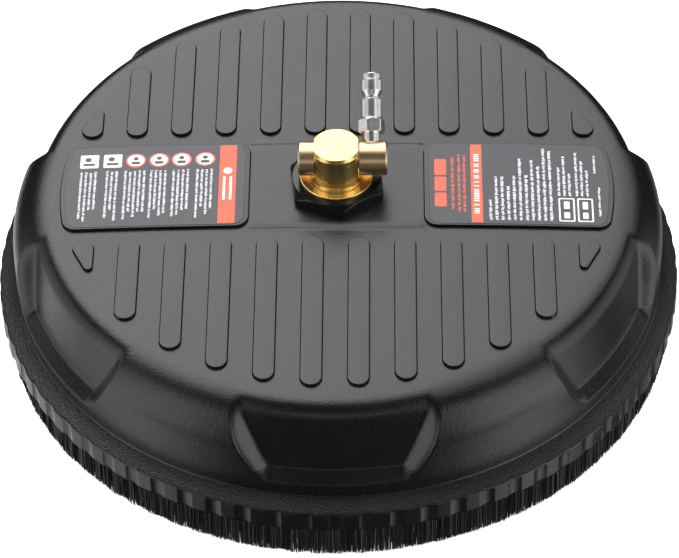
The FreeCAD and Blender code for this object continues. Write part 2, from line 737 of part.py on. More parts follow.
def make_bearings():
    nodes = make_bearing("lower_bearing", "bearing_low")
    nodes += make_bearing("upper_bearing", "bearing_low + bearing_step")
    between = ("bearing_low + bearing_width", "bearing_low + bearing_step")
    nodes.append(ring("outer_race_spacer", "clip_inner", "spacer_wall", *between))
    nodes.append(ring("inner_race_spacer", "bearing_bore", "shaft_clip_outer", *between))
    clip_low = "bearing_low - clip_thick"
    nodes.append(ring("housing_clip", "clip_inner", "clip_outer", clip_low, "bearing_low"))
    return nodes


# ---------------------------------------------------------------- brass manifold


def make_manifold():
    outside = turned("manifold_outside", [
        ("seal_recess", "spigot_low"),
        ("spigot_radius", "spigot_low"),
        ("spigot_radius", "ring_groove_low"),
        ("ring_groove_floor", "ring_groove_low"),
        ("ring_groove_floor", "ring_groove_low + ring_groove_width"),
        ("spigot_radius", "ring_groove_low + ring_groove_width"),
        ("spigot_radius", "hex_high"),
        ("flange_radius", "hex_high"),
        ("flange_radius", "flange_high - flange_bevel"),
        ("flange_radius - flange_bevel", "flange_high"),
        ("flange_radius - flange_lip", "flange_high"),
        ("dish_radius", "dish_high"),
        ("manifold_radius", "dish_high + dish_rise"),
        ("manifold_radius", "manifold_top - manifold_bevel"),
        ("manifold_radius - manifold_bevel", "manifold_top"),
        (0, "manifold_top"),
        (0, "seal_recess_top"),
        ("seal_recess", "seal_recess_top"),
    ])
    flats = []
    low = "flange_high + lap"
    for name, x in (("left", "-flat_half - manifold_radius"), ("right", "flat_half")):
        flats.append(block(f"manifold_flat_{name}", "manifold_radius", "2 * manifold_radius",
                           f"manifold_top - ({low})", x, "-manifold_radius", low))
    rise = "pivot_high - seal_recess_top"
    passage = rod("manifold_passage", "passage", rise, z="seal_recess_top")
    cross = rod("manifold_cross_bore", "pin_bore", "2 * flat_half", ALONG_X,
                x="-flat_half", z="pivot_high")
    body = cut_all("manifold_body", outside, flats + [passage, cross])
    seal_ring = loop("manifold_seal_ring", "(ring_groove_floor + spigot_bore) / 2",
                     "(spigot_bore - ring_groove_floor) / 2 - seal_gap",
                     z="ring_groove_low + ring_groove_width / 2")
    seal_ring.Label = "manifold_seal_ring"
    rotary_seal = ring("rotary_seal", "bearing_bore + seal_gap", "seal_recess - seal_gap",
                       "rotary_seal_low", "rotary_seal_top")
    return [body, seal_ring, rotary_seal]


# ---------------------------------------------------------------- cross pin and tilting inlet


def make_pivot():
    """The fixed cross pin, its cap and seals, and the ring that keeps the collar on it."""
    grooves = []
    for start in ("seal_left", "seal_right"):
        grooves += [
            ("pin_radius", start),
            ("seal_floor", start),
            ("seal_floor", f"{start} + seal_groove"),
            ("pin_radius", f"{start} + seal_groove"),
        ]
    blank = turned("pivot_pin_blank", [
        (0, "pin_left"),
        ("pin_radius", "pin_left"),
        *grooves,
        ("pin_radius", "retainer_left"),
        ("retainer_inner", "retainer_left"),
        ("retainer_inner", "retainer_left + retainer_thick"),
        ("pin_radius", "retainer_left + retainer_thick"),
        ("pin_radius", "pin_right"),
        (0, "pin_right"),
    ])
    place(blank, ALONG_X, z="pivot_high")
    lean = Rotation(Vector(1, 0, 0), -size("inlet_lean"))
    reach = "pin_radius + lap"
    passages = [
        rod("pin_long_passage", "pin_passage", "inlet_x + 2 * pin_passage", ALONG_X,
            x="-pin_passage", z="pivot_high"),
        rod("pin_down_passage", "pin_passage", reach, x=0, z=f"pivot_high - ({reach})"),
        rod("pin_inlet_passage", "pin_passage", reach, lean, x="inlet_x", z="pivot_high"),
    ]
    pin = cut_all("pivot_pin", blank, passages)
    cap = turned("pin_end_cap", [
        (0, "cap_left"),
        ("cap_radius - cap_bevel", "cap_left"),
        ("cap_radius", "cap_left + cap_bevel"),
        ("cap_radius", "-flat_half"),
        ("pin_radius", "-flat_half"),
        ("pin_radius", "pin_left"),
        (0, "pin_left"),
    ])
    place(cap, ALONG_X, z="pivot_high")
    rings = []
    for index, start in enumerate(("seal_left", "seal_right")):
        middle = f"{start} + seal_groove / 2"
        rings.append(loop(f"pin_seal_{index + 1}", "(seal_floor + pin_radius) / 2",
                          "(pin_radius - seal_floor) / 2 - seal_gap",
                          ALONG_X, x=middle, z="pivot_high"))
    retainer = ring("pin_retaining_ring", "retainer_inner", "retainer_outer",
                    "retainer_left", "retainer_left + retainer_thick")
    place(retainer, ALONG_X, z="pivot_high")
    return [pin, cap, group("pin_seal_rings", rings), retainer]


def make_collar():
    lean = Rotation(Vector(1, 0, 0), -size("inlet_lean"))
    blank = turned("swivel_collar_blank", [
        ("pin_bore", "collar_left"),
        ("cap_radius - cap_bevel / 2", "collar_left"),
        ("cap_radius", "collar_left + cap_bevel / 2"),
        ("cap_radius", "collar_right - cap_bevel"),
        ("cap_radius - cap_bevel", "collar_right"),
        ("recess_radius", "collar_right"),
        ("recess_radius", "collar_recess"),
        ("pin_bore", "collar_recess"),
    ])
    place(blank, ALONG_X, z="pivot_high")
    thread = turned("collar_thread", [
        (0, 0),
        ("inlet_bore", 0),
        ("inlet_bore", "inlet_start"),
        ("inlet_thread", "inlet_start"),
        ("inlet_thread", "cap_radius + lap"),
        (0, "cap_radius + lap"),
    ])
    place(thread, lean, x="inlet_x", z="pivot_high")
    collar = cut("swivel_collar", blank, thread)
    plug = turned("collar_plug", [
        (0, "collar_right - plug_thick"),
        ("recess_radius", "collar_right - plug_thick"),
        ("recess_radius", "collar_right"),
        (0, "collar_right"),
    ])
    place(plug, ALONG_X, z="pivot_high")
    return [collar, plug]


def make_inlet():
    lean = Rotation(Vector(1, 0, 0), -size("inlet_lean"))
    turning = turned("inlet_turning", [
        ("inlet_bore", "inlet_start"),
        ("inlet_thread", "inlet_start"),
        ("inlet_thread", "inlet_hex_end"),
        ("sleeve_radius", "inlet_hex_end"),
        ("sleeve_radius", "sleeve_end - inlet_bevel"),
        ("sleeve_radius - inlet_bevel", "sleeve_end"),
        ("neck_radius", "sleeve_end"),
        ("neck_radius", "neck_end"),
        ("nose_radius", "nose_start"),
        ("nose_radius", "nose_end"),
        ("tip_radius", "nose_end + nose_radius - tip_radius"),
        ("tip_radius", "tip_end - inlet_bevel"),
        ("tip_radius - inlet_bevel", "tip_end"),
        ("inlet_bore", "tip_end"),
    ])
    length = "inlet_hex_end - stem_end"
    flats = hex_nut("inlet_hexagon", "inlet_hex_corner", "inlet_thread", length, z="stem_end")
    nipple = together("quick_connect_nipple", [turning, flats])
    return place(nipple, lean, x="inlet_x", z="pivot_high")


# ---------------------------------------------------------------- rotor


def make_shaft():
    groove_high = "shaft_clip_low + shaft_clip_thick"
    shaft = turned("rotor_shaft", [
        ("shaft_bore", "shaft_low"),
        ("shaft_shoulder", "shaft_low"),
        ("shaft_shoulder", "bearing_low"),
        ("bearing_bore", "bearing_low"),
        ("bearing_bore", "shaft_clip_low"),
        ("shaft_groove", "shaft_clip_low"),
        ("shaft_groove", groove_high),
        ("bearing_bore", groove_high),
        ("bearing_bore", "shaft_top"),
        ("shaft_bore", "shaft_top"),
    ])
    clip = ring("shaft_clip", "shaft_groove", "shaft_clip_outer", "shaft_clip_low", groove_high)
    return [shaft, clip]


def make_hub():
    blank = turned("rotor_hub_blank", [
        (0, "hub_low"),
        ("hub_radius - soft_edge", "hub_low"),
        ("hub_radius", "hub_low + soft_edge"),
        ("hub_radius", "hub_high - soft_edge"),
        ("hub_radius - soft_edge", "hub_high"),
        ("shaft_shoulder", "hub_high"),
        ("shaft_shoulder", "shaft_low"),
        ("hub_cavity", "shaft_low"),
        ("hub_cavity", "hub_cavity_low"),
        (0, "hub_cavity_low"),
    ])
    cross = rod("hub_cross_passage", "hub_cavity", "2 * arm_start", ALONG_X, x="-arm_start", z="arm_high")
    sockets = []
    for name, start in (("left", "-hub_radius"), ("right", "arm_start")):
        sockets.append(rod(f"hub_socket_{name}", "arm_radius", "hub_radius - arm_start", ALONG_X,
                           x=start, z="arm_high"))
    return cut_all("rotor_hub", blank, [cross] + sockets)


def make_arm(side):
    """One spray arm with its lock nut, elbow and nozzle. The nozzles lean opposite ways."""
    sign, along = (1, ALONG_X) if side == "right" else (-1, ALONG_MINUS_X)
    arm = ring(f"spray_arm_{side}", "arm_bore", "arm_radius", "arm_start", "arm_end")
    place(arm, along, z="arm_high")
    nut = hex_nut(f"arm_lock_nut_{side}", "lock_nut_corner", "arm_radius", "lock_nut_thick", along,
                  x=f"{sign} * hub_radius", z="arm_high")
    down = Rotation(Vector(1, 0, 0), 180 + sign * size("nozzle_lean"))
    centre = {"x": f"{sign} * nozzle_x", "z": "arm_high"}
    barrel = turned(f"nozzle_elbow_{side}_barrel", [
        (0, "elbow_start"),
        ("elbow_radius", "elbow_start"),
        ("elbow_radius", "elbow_end - soft_edge"),
        ("elbow_radius - soft_edge", "elbow_end"),
        (0, "elbow_end"),
    ])
    place(barrel, along, z="arm_high")
    outlet = rod(f"nozzle_elbow_{side}_outlet", "outlet_radius", "elbow_drop", down, **centre)
    outside = together(f"nozzle_elbow_{side}_outside", [barrel, outlet])
    socket = rod(f"nozzle_elbow_{side}_socket", "arm_radius", "arm_end - elbow_start", along,
                 x=f"{sign} * elbow_start", z="arm_high")
    through = rod(f"nozzle_elbow_{side}_through", "arm_bore", "nozzle_x - arm_end", along,
                  x=f"{sign} * arm_end", z="arm_high")
    drop = turned(f"nozzle_elbow_{side}_drop", [
        (0, 0),
        ("arm_bore", 0),
        ("arm_bore", "nozzle_start"),
        ("nozzle_thread", "nozzle_start"),
        ("nozzle_thread", "elbow_drop"),
        (0, "elbow_drop"),
    ])
    place(drop, down, **centre)
    elbow = cut_all(f"nozzle_elbow_{side}", outside, [socket, through, drop])
    turning = turned(f"spray_nozzle_{side}_turning", [
        ("nozzle_bore", "nozzle_start"),
        ("nozzle_thread", "nozzle_start"),
        ("nozzle_thread", "nozzle_tip - nozzle_bevel"),
        ("nozzle_thread - nozzle_bevel", "nozzle_tip"),
        ("nozzle_bore", "nozzle_tip"),
    ])
    length = "nozzle_hex_end - elbow_drop"
    flats = hex_nut(f"spray_nozzle_{side}_hexagon", "nozzle_hex_corner", "nozzle_thread", length,
                    z="elbow_drop")
    nozzle = together(f"spray_nozzle_{side}", [turning, flats])
    place(nozzle, down, **centre)
    return [arm, nut, elbow, nozzle]


# ---------------------------------------------------------------- assembly and export


def export(nodes):
    """Checks every object of the document, then writes each sub-part's solids to its own file."""
    doc.recompute()
    for item in doc.Objects:
        if "Invalid" in item.State or "Error" in item.State:
            raise ValueError(f"{item.Label} did not build: {item.State}")
    labels = [node.Label for node in nodes]
    if len(set(labels)) != len(labels):
        raise ValueError("two sub-parts share a name")
    os.makedirs("parts", exist_ok=True)
    for node in nodes:
        shape = node.Shape
        if shape.isNull() or not shape.isValid() or not shape.Solids:
            raise ValueError(f"{node.Label} is not a valid solid")
        shape.exportStep(f"parts/{node.Label}.step")
        print(f"{node.Label:26s} {len(shape.Solids):3d} solids {shape.Volume / 1000:9.2f} cm3")
    print(len(nodes), "nodes")


nodes = [make_hood(), make_label("left"), make_label("right")]
nodes += make_brush()
nodes += [make_bearing_housing()] + make_clamp()
nodes += make_bearings()
nodes += make_manifold()
nodes += make_pivot() + make_collar() + [make_inlet()]
nodes += make_shaft() + [make_hub()]
nodes += make_arm("left") + make_arm("right")
export(nodes)
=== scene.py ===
"""Rotary surface cleaner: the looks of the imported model, in metres, +Z up, front at -Y.

Lengths inside this script are millimetres until a mesh is made.
"""

import math
import random

import bpy
import numpy as np
from mathutils import Matrix, Vector
from mathutils.geometry import delaunay_2d_cdt
from mathutils.kdtree import KDTree


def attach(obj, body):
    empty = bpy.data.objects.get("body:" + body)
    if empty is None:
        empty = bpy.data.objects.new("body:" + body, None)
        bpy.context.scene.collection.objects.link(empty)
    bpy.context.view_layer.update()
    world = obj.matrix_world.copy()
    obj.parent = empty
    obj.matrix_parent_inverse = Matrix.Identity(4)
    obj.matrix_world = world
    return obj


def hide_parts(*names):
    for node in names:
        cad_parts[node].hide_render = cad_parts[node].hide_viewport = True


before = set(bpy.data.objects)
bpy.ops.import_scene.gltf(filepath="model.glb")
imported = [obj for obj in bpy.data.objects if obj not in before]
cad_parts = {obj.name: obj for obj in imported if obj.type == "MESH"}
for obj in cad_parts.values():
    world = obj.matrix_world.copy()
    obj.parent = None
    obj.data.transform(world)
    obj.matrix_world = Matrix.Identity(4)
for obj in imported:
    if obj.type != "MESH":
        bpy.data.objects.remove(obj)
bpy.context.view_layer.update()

# ---- mesh helpers


def add_object(name, made, material, sharp=30, body="hood", replaces=()):
    """A smooth mesh object from a builder's millimetre points, riding on a body of the frame."""
    mesh = bpy.data.meshes.new(name)
    mesh.from_pydata((np.asarray(made.points, float) * 0.001).tolist(), [], made.faces)
    mesh.validate()
    mesh.polygons.foreach_set("use_smooth", [True] * len(mesh.polygons))
    mesh.set_sharp_from_angle(angle=math.radians(sharp))
    mesh.materials.append(material)
    piece = bpy.data.objects.new(name, mesh)
    bpy.context.scene.collection.objects.link(piece)
    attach(piece, body)
    if replaces:
        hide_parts(*replaces)
    return piece


class Builder:
    """Collects the points and faces of one mesh."""

    def __init__(self):
        self.points = []
        self.faces = []

    def add(self, points):
        start = len(self.points)
        self.points += [tuple(p) for p in points]
        return list(range(start, len(self.points)))

    def strip(self, low, high, closed=True):
        """Quads between two rows of the same length."""
        count = len(low)
        for i in range(count if closed else count - 1):
            j = (i + 1) % count
            self.faces.append((low[i], low[j], high[j], high[i]))

    def loft(self, rows, closed=True):
        for low, high in zip(rows, rows[1:]):
            self.strip(low, high, closed)

    def cap(self, row, flip=False):
        self.faces.append(tuple(reversed(row)) if flip else tuple(row))

    def bridge(self, outer, inner, up=True):
        """Triangles between two rings about Z that have different numbers of points."""
        def turn(index):
            x, y = self.points[index][:2]
            return math.atan2(y, x) % (2 * math.pi)
        a = sorted(outer, key=turn)
        b = sorted(inner, key=turn)
        i = j = 0
        while i < len(a) or j < len(b):
            next_a = turn(a[i + 1]) if i + 1 < len(a) else turn(a[0]) + 2 * math.pi
            next_b = turn(b[j + 1]) if j + 1 < len(b) else turn(b[0]) + 2 * math.pi
            here_a, here_b = a[i % len(a)], b[j % len(b)]
            if j >= len(b) or (i < len(a) and next_a <= next_b):
                face = (here_a, a[(i + 1) % len(a)], here_b)
                i += 1
            else:
                face = (here_a, b[(j + 1) % len(b)], here_b)
                j += 1
            self.faces.append(face if up else tuple(reversed(face)))


def rounded(corners, steps=5):
    """A polyline with its corners rounded. A corner is (x, y) or (x, y, radius)."""
    line = []
    for i, corner in enumerate(corners):
        here = Vector(corner[:2])
        radius = corner[2] if len(corner) > 2 else 0
        if not radius or i in (0, len(corners) - 1):
            line.append(tuple(here))
            continue
        back = (Vector(corners[i - 1][:2]) - here).normalized()
        ahead = (Vector(corners[i + 1][:2]) - here).normalized()
        half = back.angle(ahead) / 2
        if half > math.radians(89):
            line.append(tuple(here))
            continue
        reach = radius / math.tan(half)
        centre = here + (back + ahead).normalized() * radius / math.sin(half)
        first, last = here + back * reach - centre, here + ahead * reach - centre
        swing = first.angle_signed(last)
        for step in range(steps + 1):
            turn = Matrix.Rotation(-swing * step / steps, 2)
            line.append(tuple(centre + turn @ first))
    return line


def held(profile, gap=0.25):
    """A profile with extra points by the ends of its long runs, which keep them straight when shaded."""
    line = [profile[0]]
    for first, last in zip(profile, profile[1:]):
        run = math.dist(first, last)
        if run > 3 * gap:
            for share in (gap / run, 1 - gap / run):
                line.append(tuple(a + (b - a) * share for a, b in zip(first, last)))
        line.append(last)
    return line


def lathe(profile, columns=96, angles=None, limit=None):
    """A closed solid of revolution about Z. The profile is (radius, height) points from the bottom
    of the outside up, and on down the bore if it has one. limit(angle, height, radius) may trim it."""
    made = Builder()
    angles = angles or [2 * math.pi * i / columns for i in range(columns)]
    rows = []
    for radius, z in profile:
        row = []
        for angle in angles:
            r = limit(angle, z, radius) if limit else radius
            row.append((r * math.cos(angle), r * math.sin(angle), z))
        rows.append(made.add(row) if radius > 0 else made.add([(0, 0, z)]))
    count = len(angles)
    for low, high in zip(rows, rows[1:]):
        if len(low) == len(high):
            made.strip(low, high)
        elif len(low) == 1:
            made.faces += [(low[0], high[(i + 1) % count], high[i]) for i in range(count)]
        else:
            made.faces += [(low[i], low[(i + 1) % count], high[0]) for i in range(count)]
    return made


def close_tube(made, columns):
    """Joins a tube's last row to its first."""
    total = len(made.points)
    made.strip(list(range(total - columns, total)), list(range(columns)))


def moved(made, matrix):
    made.points = [tuple(matrix @ Vector(p)) for p in made.points]
    return made


def joined(*parts):
    whole = Builder()
    for part in parts:
        start = len(whole.points)
        whole.points += part.points
        whole.faces += [tuple(i + start for i in face) for face in part.faces]
    return whole


# ---- materials


class Net:
    """A tree of shader nodes."""

    def __init__(self, tree):
        self.nodes, self.links = tree.nodes, tree.links

    def maths(self, operation, *values):
        node = self.nodes.new("ShaderNodeMath")
        node.operation = operation
        for socket, value in zip(node.inputs, values):
            if isinstance(value, (int, float)):
                socket.default_value = value
            else:
                self.links.new(value, socket)
        return node.outputs["Value"]

    def ramp(self, value, low, high, out_low=0, out_high=1, smooth=False):
        node = self.nodes.new("ShaderNodeMapRange")
        if smooth:
            node.interpolation_type = "SMOOTHSTEP"
        for name, number in zip(("From Min", "From Max", "To Min", "To Max"), (low, high, out_low, out_high)):
            node.inputs[name].default_value = number
        self.links.new(value, node.inputs["Value"])
        return node.outputs["Result"]


class Finish(Net):
    """A procedural material: one Principled shader with noise-driven colour, roughness and bump."""

    def __init__(self, name, metallic=0.0, specular=0.5):
        self.material = bpy.data.materials.new(name)
        self.material.use_nodes = True
        super().__init__(self.material.node_tree)
        self.shader = self.nodes["Principled BSDF"]
        self.shader.inputs["Metallic"].default_value = metallic
        self.shader.inputs["Specular IOR Level"].default_value = specular
        self.shader.inputs["IOR"].default_value = 1.5
        self.place = self.nodes.new("ShaderNodeTexCoord").outputs["Object"]
        self.bumps = []

    def stretched(self, x, y, z):
        node = self.nodes.new("ShaderNodeMapping")
        node.inputs["Scale"].default_value = (x, y, z)
        self.links.new(self.place, node.inputs["Vector"])
        return node.outputs["Vector"]

    def noise(self, scale, detail=3, rough=0.5, distortion=0.0, place=None):
        node = self.nodes.new("ShaderNodeTexNoise")
        names = ("Scale", "Detail", "Roughness", "Distortion")
        for name, number in zip(names, (scale, detail, rough, distortion)):
            node.inputs[name].default_value = number
        self.links.new(place or self.place, node.inputs["Vector"])
        return node.outputs["Fac"]

    def colour(self, value, dark, light):
        node = self.nodes.new("ShaderNodeMix")
        node.data_type = "RGBA"
        node.inputs["A"].default_value = (*dark, 1)
        node.inputs["B"].default_value = (*light, 1)
        self.links.new(value, node.inputs["Factor"])
        self.links.new(node.outputs["Result"], self.shader.inputs["Base Color"])

    def roughness(self, value, low, high, out_low, out_high):
        self.links.new(self.ramp(value, low, high, out_low, out_high), self.shader.inputs["Roughness"])

    def bump(self, height, strength, distance):
        node = self.nodes.new("ShaderNodeBump")
        node.inputs["Strength"].default_value = strength
        node.inputs["Distance"].default_value = distance
        self.links.new(height, node.inputs["Height"])
        if self.bumps:
            self.links.new(self.bumps[-1].outputs["Normal"], node.inputs["Normal"])
        self.bumps.append(node)
        self.links.new(node.outputs["Normal"], self.shader.inputs["Normal"])


def moulded(name, dark, light, rough, grain_scale, grain_strength, grain_depth, specular=0.5):
    """Moulded plastic: spark-eroded grain in two sizes, and faint flow variation in colour and gloss."""
    made = Finish(name, specular=specular)
    grain = made.noise(grain_scale, 2, 0.55)
    flow = made.noise(14, 3, 0.5)
    made.colour(made.ramp(flow, 0.3, 0.7, 0, 1), dark, light)
    mixed = made.maths("ADD", made.maths("MULTIPLY", grain, 0.5), made.maths("MULTIPLY", flow, 0.5))
    made.roughness(mixed, 0.3, 0.7, rough - 0.05, rough + 0.05)
    made.bump(made.noise(grain_scale * 0.45, 1, 0.5), grain_strength * 0.5, grain_depth * 1.5)
    made.bump(grain, grain_strength, grain_depth)
    return made.material


def metal(name, dark, light, low, high, scratch, scale=500, metallic=1.0):
    """Machined metal: fine turning or drawing marks, tarnish, and a little polish variation."""
    made = Finish(name, metallic=metallic)
    fine = made.noise(scale, 2, 0.6)
    patches = made.noise(60, 4, 0.6, 0.6)
    made.colour(made.ramp(patches, 0.35, 0.7, 0, 1), dark, light)
    mixed = made.maths("ADD", made.maths("MULTIPLY", fine, 0.4), made.maths("MULTIPLY", patches, 0.6))
    made.roughness(mixed, 0.3, 0.7, low, high)
    made.bump(fine, scratch, 0.00003)
    return made.material


HOOD_DARK, HOOD_LIGHT = (0.0032, 0.0032, 0.0034), (0.0044, 0.0044, 0.0047)
hood_plastic = moulded("hood_plastic", HOOD_DARK, HOOD_LIGHT, 0.26, 1250, 0.6, 0.0002)
# A copy of the hood plastic with almost no reflection: painted shade for the walls of the deck's grooves.
groove_shade_plastic = moulded("groove_shade_plastic", HOOD_DARK, HOOD_LIGHT, 0.45, 1250, 0.3, 0.0002, specular=0.06)
backing_plastic = moulded("backing_plastic", (0.012,) * 3, (0.02,) * 3, 0.55, 700, 0.1, 0.0001)
black_nylon = moulded(
    "black_nylon", (0.0028, 0.0028, 0.003), (0.0042, 0.0042, 0.0046), 0.22, 900, 0.05, 0.00005)
seal_rubber = moulded("seal_rubber", (0.01,) * 3, (0.02,) * 3, 0.6, 800, 0.1, 0.0001)
polished_brass = metal(
    "polished_brass", (0.80, 0.56, 0.21), (0.90, 0.66, 0.28), 0.22, 0.29, 0.12, metallic=0.97)
satin_brass = metal(
    "satin_brass", (0.60, 0.44, 0.26), (0.74, 0.54, 0.32), 0.26, 0.34, 0.6, scale=650, metallic=0.96)
stainless = metal("stainless", (0.74, 0.73, 0.73), (0.84, 0.83, 0.83), 0.26, 0.34, 0.12)
screw_steel = metal("screw_steel", (0.35, 0.35, 0.36), (0.55, 0.55, 0.55), 0.3, 0.42, 0.1)
washer_steel = metal("washer_steel", (0.42, 0.43, 0.45), (0.6, 0.6, 0.6), 0.28, 0.4, 0.12)
bearing_steel = metal("bearing_steel", (0.5, 0.5, 0.5), (0.66, 0.66, 0.66), 0.12, 0.2, 0.04)


def film_material(name, dark, light, rough):
    """Printed plastic film: nearly even colour, faint cloudiness, and a soft gloss."""
    made = Finish(name)
    cloud = made.noise(45, 3, 0.5)
    made.colour(made.ramp(cloud, 0.3, 0.7, 0, 1), dark, light)
    made.roughness(cloud, 0.3, 0.7, rough - 0.04, rough + 0.04)
    made.bump(made.noise(1500, 2, 0.5), 0.04, 0.00004)
    return made.material


label_film = film_material("label_film", (0.022, 0.022, 0.026), (0.03, 0.03, 0.036), 0.36)
white_print = film_material("white_print", (0.72, 0.73, 0.76), (0.8, 0.81, 0.84), 0.4)
coral_print = film_material("coral_print", (0.62, 0.10, 0.055), (0.7, 0.12, 0.065), 0.4)


def bristle_material():
    """Black nylon filament, lighter and duller towards its worn tip."""
    made = Finish("bristle_nylon", specular=0.45)
    height = made.nodes.new("ShaderNodeSeparateXYZ")
    made.links.new(made.place, height.inputs["Vector"])
    tip = made.ramp(height.outputs["Z"], 0.0, 0.012, 1, 0)
    each = made.noise(900, 1, 0.5, place=made.stretched(1, 1, 0.02))
    shade = made.maths("MULTIPLY", made.maths("ADD", tip, 0.6), each)
    made.colour(shade, (0.002, 0.002, 0.002), (0.012, 0.012, 0.012))
    made.roughness(each, 0.3, 0.7, 0.3, 0.5)
    made.bump(made.noise(2500, 1, 0.5), 0.1, 0.00005)
    return made.material


bristle_nylon = bristle_material()

# ---- hood

HUB_HOLE = 18.0
DECK_EDGE, DECK_RING = 161.1, 96.58
CROWN, CROWN_RADIUS = 100.3, 3606.0
RELIEF, WALL = 1.7, 4.0
RIM, RIM_LOW, RIM_FOOT = 199.85, 23.5, 24.1
# Centre and radius of the roundings at the top of a lobe and of a pocket, in the side's profile.
LOBE_ROUND = ((DECK_EDGE, 68.2), 28.5)
POCKET_ROUND = ((165.3, 84.3), 12.0)
POCKET_TOP = 96.7
BOSS_RADIUS, BOSS_TOP, BOSS_LOW = 34.0, 96.1, 92.3
SKIRT_BORE, LEDGE_BORE, LEDGE, LEDGE_TOP = 196.0, 178.0, 34.0, 40.0


def dome(x, y):
    return CROWN - (x * x + y * y) / (2 * CROWN_RADIUS)


def arc(centre, radius, first, last, step=3):
    """Points of an arc in the (radius, height) plane; angles in degrees from upright."""
    count = max(2, round(abs(last - first) / step) + 1)
    turns = np.radians(np.linspace(first, last, count))
    return [(centre[0] + radius * math.sin(t), centre[1] + radius * math.cos(t)) for t in turns]


SIDE_END = [(190.0, 41.5, 1.3), (RIM, 36.5, 1.3), (RIM, RIM_FOOT)]
lobe_side = arc(*LOBE_ROUND, 0, 90) + rounded([(189.6, 68.1)] + SIDE_END)[1:]
POCKET_CORNERS = [(177.1, 86.3), (182.6, 55.6, 2.4), (189.9, 50.2, 1.2)] + SIDE_END
pocket_side = [(DECK_EDGE, POCKET_TOP)] + arc(*POCKET_ROUND, 1.5, 80) + rounded(POCKET_CORNERS)[1:]


def radius_at(side, z):
    """The radius of a side's profile at a height."""
    radii, heights = zip(*side)
    return np.interp(z, heights[::-1], radii[::-1])


# The angle from a pocket's middle to the two edges of its cheek, by height.
EDGE_HEIGHTS = [50.5, 54.7, 60.0, 70.0, 81.0, 90.0, POCKET_TOP]
INNER_EDGE = np.polyfit(EDGE_HEIGHTS, [11.0, 11.5, 12.7, 14.3, 15.7, 16.9, 17.7], 3)
OUTER_EDGE = np.polyfit(EDGE_HEIGHTS, [12.5, 13.4, 14.7, 16.3, 17.6, 18.5, 19.0], 3)
BASE_IN, BASE_OUT = 11.0, 12.5
FLUTE_PITCH, FLUTE_HALF, FLUTE_DEPTH = 5, 1.3, 0.95


def spread_angle(u, z):
    """Shifts a column that stands at angle u below the pockets so that it follows their edges."""
    z = max(z, EDGE_HEIGHTS[0])
    fade = min(1.0, (z - EDGE_HEIGHTS[0]) / 1.5)
    inner = BASE_IN + (np.polyval(INNER_EDGE, z) - BASE_IN) * fade
    outer = BASE_OUT + (np.polyval(OUTER_EDGE, z) - BASE_OUT) * fade
    return np.interp(u, [0, BASE_IN, BASE_OUT, 30], [0, inner, outer, 30])


def cheek_weight(u, soft_in=0.3, soft_out=0.45):
    """1 in a pocket and 0 on a lobe, with a crisper inner corner and a rounder outer edge."""
    t = (u - BASE_IN) / (BASE_OUT - BASE_IN)
    if t < -soft_in:
        ramp = 0
    elif t < soft_in:
        ramp = (t + soft_in) ** 2 / (4 * soft_in)
    elif t < 1 - soft_out:
        ramp = t
    elif t < 1 + soft_out:
        ramp = 1 - (1 + soft_out - t) ** 2 / (4 * soft_out)
    else:
        ramp = 1
    return 1 - ramp


def all_round(half):
    """The columns of half a sector, repeated around the hood as (pocket's middle, u, sign)."""
    columns = []
    for sector in range(6):
        middle = -90 + 60 * sector
        columns += [(middle, u, 1) for u in half[:-1]]
        columns += [(middle + 60, u, -1) for u in reversed(half[1:])]
    return columns


def flute(angle, z):
    """Depth of the shallow grooves around the rim, which fade out under the shoulder."""
    half = FLUTE_PITCH / 2
    away = abs((angle + half) % FLUTE_PITCH - half) / FLUTE_HALF
    if away > 1:
        return 0.0
    fade = min(1.0, max(0.0, (36.9 - z) / 1.6))
    return FLUTE_DEPTH * (1 - away * away) * fade * (2 - fade)


def side_row(columns, z, lobe, pocket, grooves=True):
    """One level of the hood's side, between its lobe and pocket profiles."""
    on_lobe, in_pocket = radius_at(lobe, z), radius_at(pocket, z)
    row = []
    for middle, u, sign in columns:
        angle = middle + sign * spread_angle(u, z)
        weight = cheek_weight(u)
        r = on_lobe - weight * (on_lobe - in_pocket)
        if grooves:
            r -= flute(angle, z)
        turn = math.radians(angle)
        row.append((r * math.cos(turn), r * math.sin(turn), z))
    return row


def bar_outline(x, low, high, radius_low, radius_high, x_high):
    """Outline of a bar whose two ends are circles, as (x, y, normal x, normal y)."""
    near, far = Vector((x, low + radius_low)), Vector((x_high, high - radius_high))
    way = far - near
    lean = math.atan2(way.y, way.x)
    tilt = math.acos((radius_low - radius_high) / way.length)
    points = []
    for a in np.linspace(lean - tilt, lean + tilt, 13).tolist():
        points.append((far + radius_high * Vector((math.cos(a), math.sin(a))), a))
    for a in np.linspace(lean + tilt, lean + 2 * math.pi - tilt, 15).tolist():
        points.append((near + radius_low * Vector((math.cos(a), math.sin(a))), a))
    return divided([(p.x, p.y, math.cos(a), math.sin(a)) for p, a in points])


def divided(outline, longest=4.0):
    """Adds points along an outline's long straight sides."""
    made = []
    for here, ahead in zip(outline, outline[1:] + outline[:1]):
        parts = max(1, math.ceil(math.dist(here[:2], ahead[:2]) / longest))
        for part in range(parts):
            t = part / parts
            made.append(tuple(a + (b - a) * t for a, b in zip(here, ahead)))
    return made


PAD_INNER, PAD_OUTER, PAD_HALF, PAD_CORNER = 50.5, 160.3, 35.0, 8.0


